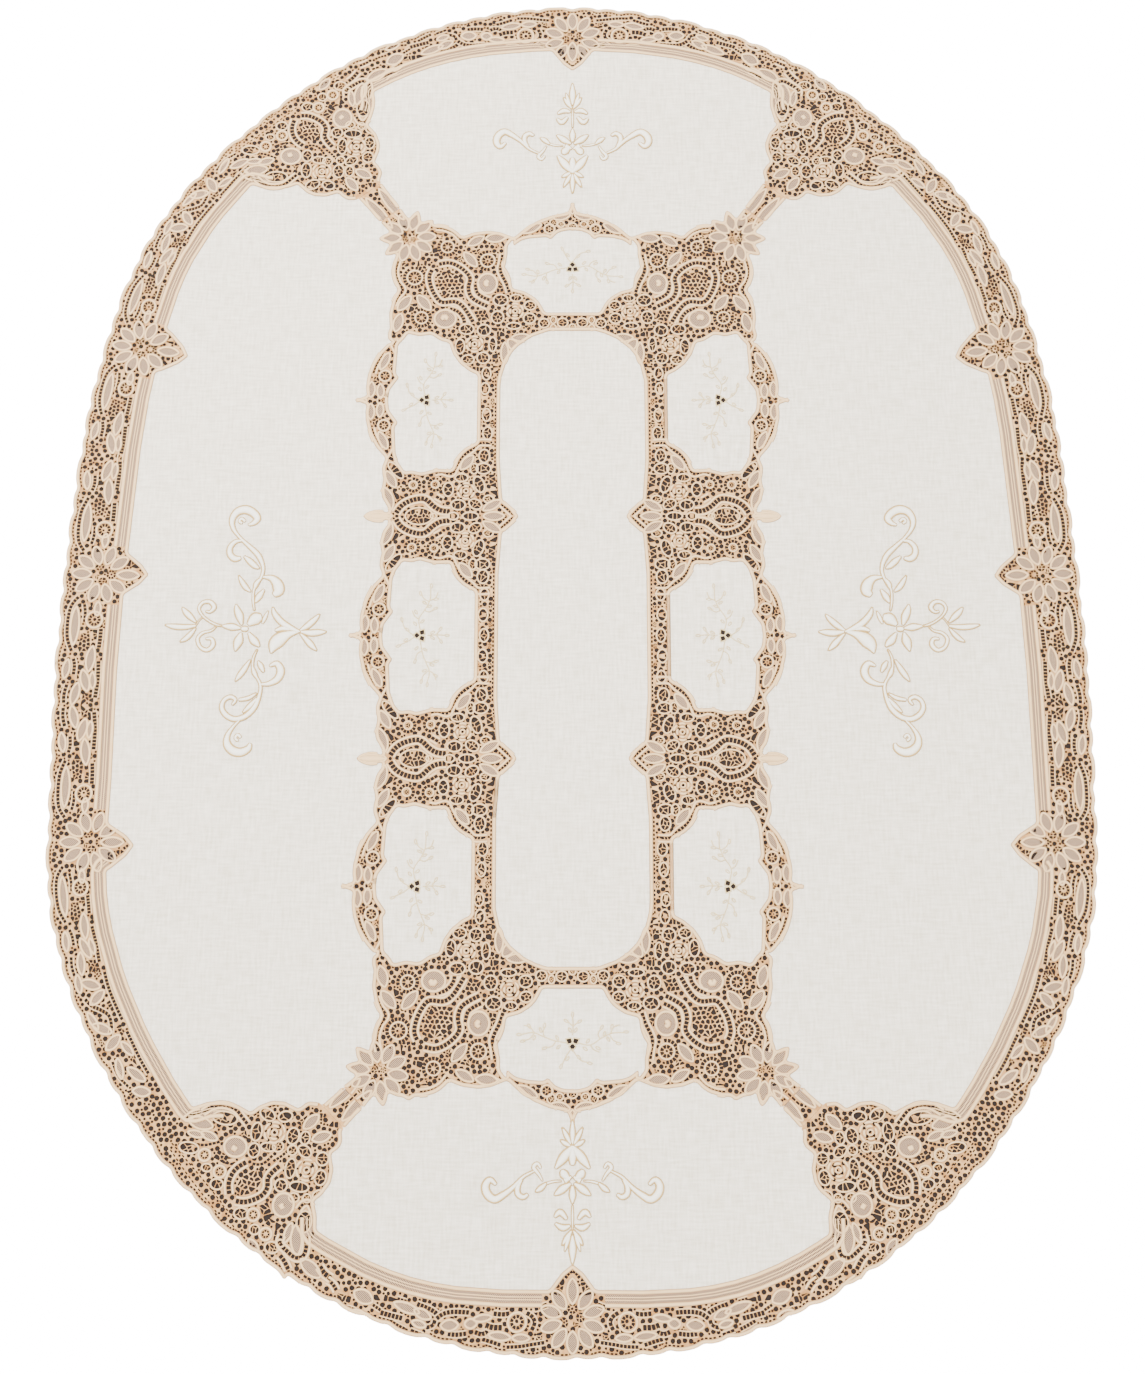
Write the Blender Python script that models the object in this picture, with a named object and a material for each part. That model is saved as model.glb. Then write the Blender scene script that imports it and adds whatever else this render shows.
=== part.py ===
"""Oval tablecloth of linen and tape lace, laid out flat.

The cloth is charted in millimetres about the middle of its centre panel, with +Y towards the far end, and
then built in metres with the underside at Z = 0. One quarter of the lattice is charted and mirrored.
"""
from collections import namedtuple
from math import atan2, ceil, cos, hypot, pi, radians, sin

import bmesh
import bpy
from mathutils import Vector
from mathutils.geometry import delaunay_2d_cdt

EdgeRow = namedtuple("EdgeRow", "angle right_radius left_radius band")
Peak = namedtuple("Peak", "angle reach")
PeakRow = namedtuple("PeakRow", "along short_of_tip")
OutlineRow = namedtuple("OutlineRow", "x y bow")
CrescentRow = namedtuple("CrescentRow", "along across bow")
CornerRow = namedtuple("CornerRow", "side_y flower_x flower_y motif_x motif_y motif_angle")
Gap = namedtuple("Gap", "x0 y0 x1 y1 width")
InsetRow = namedtuple("InsetRow", "x y trefoil_angle")
Finish = namedtuple("Finish", "colour roughness")


def table(kind, rows):
    """Rows of numbers as rows with named columns."""
    return tuple(kind(*row) for row in rows)


# ---- driving sizes, in metres -------------------------------------------------------------------------
LACE_THICKNESS = 0.0018
LINEN_THICKNESS = 0.0010
MILLIMETRE = 0.001

# ---- finishes: linear colour and roughness ------------------------------------------------------------
LACE_FINISH = Finish((0.80, 0.66, 0.50), 0.85)
LINEN_FINISH = Finish((0.81, 0.79, 0.75), 0.80)

# ---- driving sizes of the chart, in millimetres -------------------------------------------------------
PANEL_HALF_WIDTH = 123.0
PANEL_HALF_LENGTH = 541.0
SIDE_STRIP_WIDTH = 39.0
SIDE_STRIP_HALF_LENGTH = 470.0
END_STRIP_WIDTH = 34.0
END_STRIP_HALF_LENGTH = 60.0
SIDE_MOTIF_Y = 206.5
SIDE_INSET_Y = 414.0
TREFOIL_X = 251.0
TREFOIL_END_Y = 659.0
TREFOIL_REACH, TREFOIL_WIDTH, TREFOIL_ROOT = 12.5, 9.0, 1.8
SEAM_GAP = 0.3
CURVE_STEP = 7.0
OUTLINE_TOLERANCE = 1.1
OPENING_MARGIN = 1.6
MOST_LACE_OPENINGS = 276
SMALLEST_WINDOW_AREA = 4000.0
LONGEST_INSET = 400.0
CENTRE_REACH = 100.0

# The cloth's edge under its scallops, from the far end to the near end, as each side lies, and the width
# of the border lace there with its ladder braid.
OVAL = table(EdgeRow, (
    (90, 1164, 1164, 84), (75, 1144, 1145, 71), (60, 1089, 1092, 78), (45, 1023, 1027, 85),
    (30, 929, 933, 94), (15, 860, 865, 99), (0, 843, 846, 99), (-15, 872, 873, 97), (-30, 950, 951, 89),
    (-45, 1017, 1015, 84), (-60, 1077, 1073, 79), (-75, 1116, 1111, 75), (-90, 1123, 1123, 97),
))
OVAL_STEP = 15.0
FIELD_STEP = 2.0
SCALLOP_LENGTHS = (46, 38, 55, 41, 62, 36, 50)
SCALLOP_DEPTHS = (4.6, 3.4, 5.2, 4.0, 5.6, 3.2, 4.8)
SCALLOP_STEPS = 4
SCALLOP_FULLNESS = 0.6

# The peaked flowers along the edge: direction from the middle, and how far the peak reaches in. Those of
# the right side have their like on the left.
PEAKS = table(Peak, ((90, 124), (33.4, 141), (7.5, 138), (-22.9, 137), (-90, 134)))
# Half of a peak: distance along the edge from its middle, and how far short of the tip.
PEAK_PROFILE = table(PeakRow, ((58, 68), (44, 54), (36, 38), (17, 13), (0, 0)))
PEAK_ROOT_DEPTH = 30.0

# Outlines are travelled clockwise. Each row is a corner and the bow of the curve that leaves it, outward
# when positive.
INNER_CORNER = table(OutlineRow, (
    (40, 541, 0), (47, 575, -1), (47, 575, 11), (104, 620, 4), (119, 663, 3), (113, 700, 0),
    (101, 716, 12), (192, 718, 8), (246, 741, 4), (262, 744, 0), (306, 700, 0), (306, 683, 9),
    (302, 617, 7), (314, 545, 3), (315, 524, 0), (301, 514, 2), (283, 536, 4), (243, 534, 3),
    (212, 519, 10), (163, 460, 0), (123, 440, -24),
))
# Half of a side motif, about its own middle.
SIDE_MOTIF = table(OutlineRow, (
    (90, 0, 3), (118, 29, 0), (123, 100, 0), (162, 132, 9), (204, 83, 4), (255, 77, 3),
    (283, 79, -3), (298, 110, 0), (313, 107, 6), (318, 66, 8), (309, 14, 0), (309, 0, 0),
))
FINIAL_ROOT, FINIAL_TIP, FINIAL_WIDTH = 300.0, 352.0, 20.0
# Half of a corner motif, outward from its ring and across.
OUTER_CORNER = table(OutlineRow, (
    (-158, 0, 0), (-158, 25, 8), (-125, 43, 15), (-63, 84, 14), (8, 146, 0), (40, 150, 0), (40, 0, 0),
))
# Half of each crescent, from its middle: the distance along it, and across from the middle of the cloth.
# The outer edge starts at the small leaf on its tip, and the inner edge starts at the neck.
SIDE_CRESCENT_OUTER = table(CrescentRow, (
    (0, 372, 1), (8, 350, 0), (20, 352, 8), (97, 323, 0), (105, 315, 0),
))
SIDE_CRESCENT_INNER = table(CrescentRow, (
    (105, 299, 0), (95, 299, 0), (49, 302, 0), (41, 296, 0), (29, 305, -2), (12, 313, 0), (0, 314, 0),
))
END_CRESCENT_OUTER = table(CrescentRow, ((0, 785, 1), (8, 764, 10), (103, 715, 0)))
END_CRESCENT_INNER = table(CrescentRow, (
    (103, 700, 0), (88, 711, -2), (45, 717, 0), (38, 712, 0), (27, 724, -2), (0, 730, 0),
))

# Where the flower and the corner motif lie at the far and near corners, as each has settled.
CORNERS = table(CornerRow, ((1, 284, 716, 466, 921, 46.0), (-1, 302, 703, 498, 869, 37.5)))
FLOWER_PETALS = 10
FLOWER_HEART_RADIUS = 36.0
PETAL_ROOT, PETAL_TIP, PETAL_WIDTH = 14.0, 54.0, 21.0
BAR_HALF_WIDTH_AT_FLOWER, BAR_HALF_WIDTH_AT_MOTIF = 19.0, 25.0
BAR_START, BAR_BULGE, BAR_BULGE_AT, BAR_OVERRUN = 10.0, 1.0, 0.55, 4.0
BAR_SEAM_PAST_FLOWER, BAR_SEAM_BEFORE_MOTIF, BAR_SEAM_REACH = 1.0, 2.0, 60.0

# Barred channels between two tapes, by their middle line (x, y), which is cut into cells.
CHANNEL_WIDTH = 5.6
CELL_PITCH = 15.5
CELL_BAR = 2.4
INNER_CHANNELS = (
    ((232, 665), (214, 668), (197, 661), (184, 650), (177, 638),
     (181, 621), (175, 604), (162, 594), (146, 586)),
    ((243, 655), (248, 642), (245, 624), (238, 608), (226, 594),
     (203, 595), (190, 587), (180, 573), (171, 557)),
)
SIDE_CHANNEL = ((296, 6), (287, 18), (272, 27), (253, 31), (243, 27), (234, 18), (221, 10), (205, 8))
CORNER_RING_RADIUS = 32.0
CORNER_RING_OPEN = 40
CORNER_RING_STEP = 10

# Single gaps in the net of bars, from one end to the other, with the width at the middle.
INNER_GAPS = table(Gap, (
    (252, 689, 230, 681, 12), (274, 667, 254, 668, 11), (117, 700, 104, 712, 6), (178, 690, 161, 693, 10),
    (133, 545, 116, 533, 14), (163, 579, 147, 562, 12), (136, 498, 124, 466, 7), (173, 473, 155, 470, 8),
    (76, 541, 50, 536, 8), (126, 662, 118, 645, 6),
))
SIDE_GAPS = table(Gap, (
    (307, 102, 291, 76, 8), (302, 46, 285, 34, 10), (172, 89, 152, 79, 10), (134, 88, 128, 40, 5),
))
CORNER_GAPS = table(Gap, ((30, 56, 3, 72, 12), (-110, 28, -128, 17, 8), (-147, 24, -153, 8, 6)))
# Beside a peak's leaf: along the edge from the flower's middle, and in from the edge.
PEAK_GAP = Gap(15, 92, 24, 102, 9)
GAP_END_WIDTH = 0.45
# The slit between the two leaf bars, as shares of the way along them.
BAR_SLIT_START, BAR_SLIT_END, BAR_SLIT_WIDTH = 0.62, 0.86, 4.6


# ---- curves -------------------------------------------------------------------------------------------
def bowed(start, end, bow):
    """Points from start up to, but not at, end along an arc that bows to the left of travel."""
    dx, dy = end[0] - start[0], end[1] - start[1]
    span = hypot(dx, dy)
    steps = max(1, ceil(span / CURVE_STEP)) if bow else 1
    points = []
    for step in range(steps):
        t = step / steps
        lift = 4.0 * t * (1.0 - t) * bow
        points.append((start[0] + dx * t - dy / span * lift, start[1] + dy * t + dx / span * lift))
    return points


def bowed_line(rows):
    """An open line through the rows, each with its own bow."""
    points = []
    for (x, y, bow), (next_x, next_y, _) in zip(rows, rows[1:]):
        if hypot(next_x - x, next_y - y) > 0:
            points += bowed((x, y), (next_x, next_y), bow)
    points.append(rows[-1][:2])
    return points


def bowed_outline(rows):
    """A closed outline through the rows."""
    return bowed_line(tuple(rows) + (rows[0],))[:-1]


def smooth_line(points, step=CURVE_STEP):
    """A Catmull-Rom line through the points, at even steps."""
    dense = []
    last = len(points) - 1
    for i in range(last):
        p0, p1, p2, p3 = (Vector(points[j]) for j in (max(i - 1, 0), i, i + 1, min(i + 2, last)))
        for k in range(8):
            t = k / 8
            dense.append(0.5 * ((2 * p1) + (p2 - p0) * t + (2 * p0 - 5 * p1 + 4 * p2 - p3) * t * t
                                + (3 * p1 - p0 - 3 * p2 + p3) * t ** 3))
    dense.append(Vector(points[-1]))
    return even_line(dense, step)


def even_line(points, step):
    """The same line with points about one step apart, each with its tangent."""
    lengths = [0.0]
    for a, b in zip(points, points[1:]):
        lengths.append(lengths[-1] + (b - a).length)
    count = max(2, round(lengths[-1] / step))
    result = []
    segment = 0
    for k in range(count + 1):
        target = lengths[-1] * k / count
        while segment < len(points) - 2 and lengths[segment + 1] < target:
            segment += 1
        a, b = points[segment], points[segment + 1]
        t = (target - lengths[segment]) / (b - a).length
        result.append((a.lerp(b, min(t, 1.0)), (b - a).normalized()))
    return result


def mirrored(points, side_x, side_y):
    """The same points on another quarter of the cloth."""
    return [(x * side_x, y * side_y) for x, y in points]


def placed(points, centre, angle):
    """Points turned by an angle in degrees and moved to a centre."""
    c, s = cos(radians(angle)), sin(radians(angle))
    return [(centre[0] + x * c - y * s, centre[1] + x * s + y * c) for x, y in points]


def lens(root, tip, width):
    """A leaf outline from root to tip."""
    side = bowed(root, tip, width / 2)
    return side + bowed(tip, root, width / 2)


def gap_outline(x0, y0, x1, y1, width):
    """A six-sided gap with blunt ends."""
    dx, dy = x1 - x0, y1 - y0
    span = hypot(dx, dy)
    nx, ny = -dy / span * width / 2, dx / span * width / 2
    along = ((0.0, GAP_END_WIDTH), (0.5, 1.0), (1.0, GAP_END_WIDTH))
    near = [(x0 + dx * t + nx * w, y0 + dy * t + ny * w) for t, w in along]
    far = [(x0 + dx * t - nx * w, y0 + dy * t - ny * w) for t, w in reversed(along)]
    return near + far


def channel_cells(route):
    """Four-sided cells cut along a barred channel."""
    line = smooth_line(route, CELL_PITCH)
    cells = []
    for (start, start_way), (end, end_way) in zip(line, line[1:]):
        start_side = Vector((-start_way.y, start_way.x)) * CHANNEL_WIDTH / 2
        end_side = Vector((-end_way.y, end_way.x)) * CHANNEL_WIDTH / 2
        trim = (end - start).normalized() * CELL_BAR / 2
        start, end = start + trim, end - trim
        corners = (start + start_side, end + end_side, end - end_side, start - start_side)
        cells.append([tuple(corner) for corner in corners])
    return cells


# ---- the oval edge ------------------------------------------------------------------------------------
def eased(values, position):
    """A Catmull-Rom value between even rows, whose ends mirror."""
    last = len(values) - 1
    i = min(int(position), last - 1)
    t = position - i
    a, b, c, d = values[abs(i - 1)], values[i], values[i + 1], values[last - abs(last - i - 2)]
    square, cube = 2 * a - 5 * b + 4 * c - d, 3 * b - a - 3 * c + d
    return 0.5 * (2 * b + (c - a) * t + square * t ** 2 + cube * t ** 3)


def oval_position(angle):
    """The place in the edge's table of an angle in degrees, and whether it is on the left."""
    angle = (angle + 180.0) % 360.0 - 180.0
    left = abs(angle) > 90.0
    if left:
        angle = 180.0 - angle if angle > 0 else -180.0 - angle
    return (OVAL[0].angle - angle) / OVAL_STEP, left


def edge_point(angle):
    """A point of the cloth's edge under its scallops."""
    position, left = oval_position(angle)
    radius = eased([row.left_radius if left else row.right_radius for row in OVAL], position)
    return Vector((radius * cos(radians(angle)), radius * sin(radians(angle))))


def band_width(angle):
    """Width of the border at an angle."""
    return eased([row.band for row in OVAL], oval_position(angle)[0])


def edge_frame(angle):
    """A point of the edge, with the way along it and the way in."""
    along = (edge_point(angle - 0.5) - edge_point(angle + 0.5)).normalized()
    return edge_point(angle), along, Vector((along.y, -along.x))


def rim(angle, depth):
    """A point a given depth in from the cloth's edge."""
    point, _, inward = edge_frame(angle)
    return point + inward * depth


def scalloped_edge():
    """The outer edge with its uneven scallops, clockwise from the far end."""
    angles = [90.0 - 0.5 * k for k in range(721)]
    lengths = [0.0]
    for a, b in zip(angles, angles[1:]):
        lengths.append(lengths[-1] + (edge_point(b) - edge_point(a)).length)
    lobes = []
    total = 0.0
    while total < lengths[-1]:
        size = SCALLOP_LENGTHS[len(lobes) % len(SCALLOP_LENGTHS)]
        lobes.append((size, SCALLOP_DEPTHS[len(lobes) % len(SCALLOP_DEPTHS)]))
        total += size
    stretch = lengths[-1] / total
    outline = []
    start = 0.0
    for size, depth in lobes:
        for k in range(SCALLOP_STEPS):
            t = k / SCALLOP_STEPS
            angle = interpolated((start + size * t) * stretch, lengths, angles)
            outline.append(tuple(rim(angle, -depth * (4 * t * (1 - t)) ** SCALLOP_FULLNESS)))
        start += size
    return outline


def interpolated(value, inputs, outputs):
    """Linear interpolation in a rising table."""
    for k in range(len(inputs) - 1):
        if inputs[k + 1] >= value:
            t = (value - inputs[k]) / (inputs[k + 1] - inputs[k])
            return outputs[k] + (outputs[k + 1] - outputs[k]) * t
    return outputs[-1]


def field_edge():
    """The inner edge of the border band."""
    angles = [90.0 - FIELD_STEP * k for k in range(int(360 / FIELD_STEP))]
    return [tuple(rim(angle, band_width(angle))) for angle in angles]


def peaks():
    """Every peak of the border, those of the left side too."""
    both = [Peak(180.0 - peak.angle, peak.reach) for peak in PEAKS if abs(peak.angle) != 90]
    return list(PEAKS) + both


# ---- patches of lace ----------------------------------------------------------------------------------
def rectangle(x0, y0, x1, y1):
    return [(x0, y0), (x1, y0), (x1, y1), (x0, y1)]


def both_halves(half):
    """A closed outline from its upper half, which starts and ends on the middle line."""
    return half + [(x, -y) for x, y in reversed(half[1:-1])]


def peak_outline(peak):
    """The pointed peak of a border flower, over the field of linen."""
    edge, along, inward = edge_frame(peak.angle)
    half = [(row.along, peak.reach - row.short_of_tip) for row in PEAK_PROFILE]
    root = half[0][0]
    local = [(root, PEAK_ROOT_DEPTH)] + half
    local += [(-a, depth) for a, depth in reversed(half[:-1])] + [(-root, PEAK_ROOT_DEPTH)]
    return [tuple(edge + along * a + inward * depth) for a, depth in local]


def bar_line(corner):
    """A corner's bar, from its flower to its motif: the direction in degrees and the length."""
    motif = (corner.motif_x, corner.motif_y)
    end_x, end_y = placed([(OUTER_CORNER[0].x, 0)], motif, corner.motif_angle)[0]
    dx, dy = end_x - corner.flower_x, end_y - corner.flower_y
    return atan2(dy, dx) * 180.0 / pi, hypot(dx, dy)


def flower_patches(corner):
    """The heart and the free petals of an inner corner flower."""
    middle = (corner.flower_x, corner.flower_y)
    axis, _ = bar_line(corner)
    heart = [(FLOWER_HEART_RADIUS * cos(radians(a)), FLOWER_HEART_RADIUS * sin(radians(a)))
             for a in range(0, 360, 20)]
    petal = lens((PETAL_ROOT, 0), (PETAL_TIP, 0), PETAL_WIDTH)
    step = 360.0 / FLOWER_PETALS
    return [placed(heart, middle, 0)] + [placed(petal, middle, axis + step * (k + 0.5))
                                         for k in range(FLOWER_PETALS)]


def bar_patch(corner):
    """The pair of leaf bars between a flower and its corner motif."""
    axis, span = bar_line(corner)
    near, far = BAR_HALF_WIDTH_AT_FLOWER, BAR_HALF_WIDTH_AT_MOTIF
    middle = (near + far) / 2 + BAR_BULGE
    half = [(BAR_START, near), (span * BAR_BULGE_AT, middle), (span + BAR_OVERRUN, far)]
    outline = half + [(u, -v) for u, v in reversed(half)]
    return placed(outline, (corner.flower_x, corner.flower_y), axis)


def corner_motif(corner):
    """The lace motif where the bar meets the border."""
    outline = both_halves(bowed_line(OUTER_CORNER))
    return placed(outline, (corner.motif_x, corner.motif_y), corner.motif_angle)


def crescent(outer_rows, inner_rows, swap):
    """A crescent about its middle, given one half of each edge."""
    half = bowed_line(outer_rows) + bowed_line(inner_rows)
    outline = half + [(-a, b) for a, b in reversed(half[1:-1])]
    return [(b, a) for a, b in outline] if swap else outline


def shifted(points, dx, dy):
    return [(x + dx, y + dy) for x, y in points]


def lace_patches():
    """Every patch whose union, with the border band, is the lace."""
    strip_x = PANEL_HALF_WIDTH + SIDE_STRIP_WIDTH
    strip_y = PANEL_HALF_LENGTH + END_STRIP_WIDTH
    side_strip = rectangle(PANEL_HALF_WIDTH, -SIDE_STRIP_HALF_LENGTH, strip_x, SIDE_STRIP_HALF_LENGTH)
    end_strip = rectangle(-END_STRIP_HALF_LENGTH, PANEL_HALF_LENGTH, END_STRIP_HALF_LENGTH, strip_y)
    motif = shifted(both_halves(bowed_line(SIDE_MOTIF)), 0, SIDE_MOTIF_Y)
    finial = shifted(lens((FINIAL_ROOT, 0), (FINIAL_TIP, 0), FINIAL_WIDTH), 0, SIDE_MOTIF_Y)
    side_arc = crescent(SIDE_CRESCENT_OUTER, SIDE_CRESCENT_INNER, swap=True)
    end_arc = crescent(END_CRESCENT_OUTER, END_CRESCENT_INNER, swap=False)
    patches = [peak_outline(peak) for peak in peaks()]
    for side_y in (1, -1):
        patches += [mirrored(shape, 1, side_y) for shape in (end_strip, end_arc)]
    for side_x in (1, -1):
        patches.append(mirrored(side_strip, side_x, 1))
        patches += [mirrored(shifted(side_arc, 0, y), side_x, 1) for y in (-SIDE_INSET_Y, 0, SIDE_INSET_Y)]
        for side_y in (1, -1):
            quarter = (motif, finial, bowed_outline(INNER_CORNER))
            patches += [mirrored(shape, side_x, side_y) for shape in quarter]
        for corner in CORNERS:
            parts = flower_patches(corner) + [bar_patch(corner), corner_motif(corner)]
            patches += [mirrored(part, side_x, corner.side_y) for part in parts]
    return patches


def corner_openings(corner):
    """The gaps of one corner motif, and the slit between its leaf bars."""
    local = []
    for flip in (1, -1):
        local += [mirrored(gap_outline(*row), 1, flip) for row in CORNER_GAPS]
    first = CORNER_RING_OPEN - 180
    ring = [(CORNER_RING_RADIUS * cos(radians(a)), CORNER_RING_RADIUS * sin(radians(a)))
            for a in range(first, 1 - first, CORNER_RING_STEP)]
    local += channel_cells(ring)
    motif = (corner.motif_x, corner.motif_y)
    axis, span = bar_line(corner)
    slit = gap_outline(BAR_SLIT_START * span, 0, BAR_SLIT_END * span, 0, BAR_SLIT_WIDTH)
    return [placed(gap, motif, corner.motif_angle) for gap in local] \
        + [placed(slit, (corner.flower_x, corner.flower_y), axis)]


def peak_openings(peak):
    """The two gaps beside a peak's leaf."""
    edge, along, inward = edge_frame(peak.angle)
    shape = gap_outline(*PEAK_GAP)
    return [[tuple(edge + along * a * flip + inward * depth) for a, depth in shape] for flip in (1, -1)]


def lace_openings():
    """The gaps that are cut through the lace."""
    inner = [gap_outline(*row) for row in INNER_GAPS]
    for route in INNER_CHANNELS:
        inner += channel_cells(route)
    side = [gap_outline(*row) for row in SIDE_GAPS] + channel_cells(SIDE_CHANNEL)
    side += [mirrored(gap, 1, -1) for gap in side]
    quarter = inner + [shifted(gap, 0, SIDE_MOTIF_Y) for gap in side]
    openings = []
    for peak in peaks():
        openings += peak_openings(peak)
    for side_x in (1, -1):
        for side_y in (1, -1):
            openings += [mirrored(gap, side_x, side_y) for gap in quarter]
        for corner in CORNERS:
            openings += [mirrored(gap, side_x, corner.side_y) for gap in corner_openings(corner)]
    return openings


# ---- plane regions ------------------------------------------------------------------------------------
def signed_area(loop):
    return 0.5 * sum(a[0] * b[1] - b[0] * a[1] for a, b in zip(loop, loop[1:] + loop[:1]))


def counter_clockwise(loop):
    return list(loop) if signed_area(loop) > 0 else list(reversed(loop))


def partition(polygons):
    """Triangles of the plane cut by every polygon, each with the polygons that hold it."""
    points, faces = [], []
    for polygon in polygons:
        polygon = counter_clockwise(polygon)
        faces.append(list(range(len(points), len(points) + len(polygon))))
        points += [Vector(p) for p in polygon]
    verts, _, triangles, _, _, sources = delaunay_2d_cdt(points, [], faces, 0, 1e-4, True)
    return [tuple(v) for v in verts], triangles, [set(s) for s in sources]


def boundary_loops(verts, triangles):
    """Closed loops round a set of triangles, outer ones counter-clockwise and holes clockwise."""
    edges = set()
    for triangle in triangles:
        for a, b in zip(triangle, triangle[1:] + triangle[:1]):
            if (b, a) in edges:
                edges.discard((b, a))
            else:
                edges.add((a, b))
    following = {}
    for a, b in edges:
        following.setdefault(a, []).append(b)
    loops = []
    while following:
        start = min(following)
        loop = [start]
        here = following[start].pop()
        while here != start:
            loop.append(here)
            options = following[here]
            if len(options) > 1:
                options.sort(key=lambda after: turn(verts[loop[-2]], verts[here], verts[after]))
            here = options.pop()
        following = {a: b for a, b in following.items() if b}
        loops.append([verts[k] for k in loop])
    return loops


def turn(before, here, after):
    """Angle of the turn from one edge to the next, to the left when positive."""
    a = atan2(here[1] - before[1], here[0] - before[0])
    b = atan2(after[1] - here[1], after[0] - here[0])
    return (b - a + pi) % (2 * pi) - pi


def simplified(loop, tolerance=OUTLINE_TOLERANCE):
    """The loop with the points that its shape needs."""
    far = max(range(len(loop)), key=lambda k: hypot(loop[k][0] - loop[0][0], loop[k][1] - loop[0][1]))
    first = thinned(loop[:far + 1], tolerance)
    second = thinned(loop[far:] + loop[:1], tolerance)
    return first[:-1] + second[:-1]


def thinned(line, tolerance):
    """Douglas and Peucker's thinning of an open line."""
    (x0, y0), (x1, y1) = line[0], line[-1]
    span = hypot(x1 - x0, y1 - y0) or 1.0
    worst, at = 0.0, 0
    for k in range(1, len(line) - 1):
        offset = abs((line[k][0] - x0) * (y1 - y0) - (line[k][1] - y0) * (x1 - x0)) / span
        if offset > worst:
            worst, at = offset, k
    if worst <= tolerance:
        return [line[0], line[-1]]
    return thinned(line[:at + 1], tolerance)[:-1] + thinned(line[at:], tolerance)


def drawn_in(loop, gap):
    """A counter-clockwise loop drawn in by a small gap."""
    result = []
    count = len(loop)
    for k in range(count):
        before, here, after = Vector(loop[k - 1]), Vector(loop[k]), Vector(loop[(k + 1) % count])
        a, b = (here - before).normalized(), (after - here).normalized()
        na, nb = Vector((-a.y, a.x)), Vector((-b.y, b.x))
        bisector = (na + nb).normalized()
        result.append(tuple(here + bisector * gap / max(bisector.dot(na), 0.35)))
    return result


def distance_to_edge(point, a, b):
    dx, dy = b[0] - a[0], b[1] - a[1]
    t = max(0.0, min(1.0, ((point[0] - a[0]) * dx + (point[1] - a[1]) * dy) / (dx * dx + dy * dy)))
    return hypot(point[0] - a[0] - dx * t, point[1] - a[1] - dy * t)


def loops_apart(first, second, margin):
    """Whether two loops keep a margin, tested at the points of both."""
    reach = max(hypot(p[0] - first[0][0], p[1] - first[0][1]) for p in first) + margin
    for points, other in ((first, second), (second, first)):
        for a, b in zip(other, other[1:] + other[:1]):
            length = hypot(b[0] - a[0], b[1] - a[1])
            if distance_to_edge(first[0], a, b) > reach + length and other is second:
                continue
            if any(distance_to_edge(p, a, b) < margin for p in points):
                return False
    return True


def inside(point, loop):
    x, y = point
    odd = False
    for (x0, y0), (x1, y1) in zip(loop, loop[1:] + loop[:1]):
        if (y0 > y) != (y1 > y) and x < x0 + (y - y0) / (y1 - y0) * (x1 - x0):
            odd = not odd
    return odd


def kept_openings(openings, edge, windows, seams):
    """The openings that lie in the lace with a margin all round, the largest first."""
    kept = []
    borders = [edge] + windows + seams
    for opening in sorted(openings, key=lambda loop: -abs(signed_area(loop))):
        if not inside(opening[0], edge) or any(inside(opening[0], window) for window in windows):
            continue
        if not all(loops_apart(opening, loop, OPENING_MARGIN) for loop in borders + kept):
            continue
        kept.append(opening)
    return kept[:MOST_LACE_OPENINGS]


# ---- solids -------------------------------------------------------------------------------------------
def material(name, finish):
    """The plain material of one piece."""
    surface = bpy.data.materials.new(name)
    surface.use_nodes = True
    shader = surface.node_tree.nodes["Principled BSDF"]
    shader.inputs["Base Color"].default_value = (*finish.colour, 1.0)
    shader.inputs["Roughness"].default_value = finish.roughness
    shader.inputs["Metallic"].default_value = 0.0
    return surface


def sheet(name, verts, triangles, thickness, shift, finish):
    """A flat closed sheet from plane triangles, its underside on Z = 0."""
    used = sorted({v for triangle in triangles for v in triangle})
    mesh = bmesh.new()
    levels = []
    for z in (0.0, thickness):
        level = {}
        for v in used:
            x, y = verts[v][0] + shift[0], verts[v][1] + shift[1]
            level[v] = mesh.verts.new((x * MILLIMETRE, y * MILLIMETRE, z))
        levels.append(level)
    lower, upper = levels
    edges = set()
    for a, b, c in triangles:
        mesh.faces.new((upper[a], upper[b], upper[c]))
        mesh.faces.new((lower[c], lower[b], lower[a]))
        for p, q in ((a, b), (b, c), (c, a)):
            if (q, p) in edges:
                edges.discard((q, p))
            else:
                edges.add((p, q))
    for p, q in sorted(edges):
        mesh.faces.new((lower[p], lower[q], upper[q], upper[p]))
    data = bpy.data.meshes.new(name)
    mesh.to_mesh(data)
    mesh.free()
    data.materials.append(material(name, finish))
    piece = bpy.data.objects.new(name, data)
    bpy.context.scene.collection.objects.link(piece)
    return piece


def components(triangles):
    """Groups of triangles that share edges."""
    by_edge = {}
    for index, triangle in enumerate(triangles):
        for a, b in zip(triangle, triangle[1:] + triangle[:1]):
            by_edge.setdefault((min(a, b), max(a, b)), []).append(index)
    group = list(range(len(triangles)))

    def root(k):
        while group[k] != k:
            group[k] = group[group[k]]
            k = group[k]
        return k

    for pair in by_edge.values():
        if len(pair) == 2:
            group[root(pair[0])] = root(pair[1])
    result = {}
    for index in range(len(triangles)):
        result.setdefault(root(index), []).append(triangles[index])
    return list(result.values())


def extent(points):
    """Middle, width and length of the box round some points."""
    xs, ys = [p[0] for p in points], [p[1] for p in points]
    return (min(xs) + max(xs)) / 2, (min(ys) + max(ys)) / 2, max(xs) - min(xs), max(ys) - min(ys)


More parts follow.
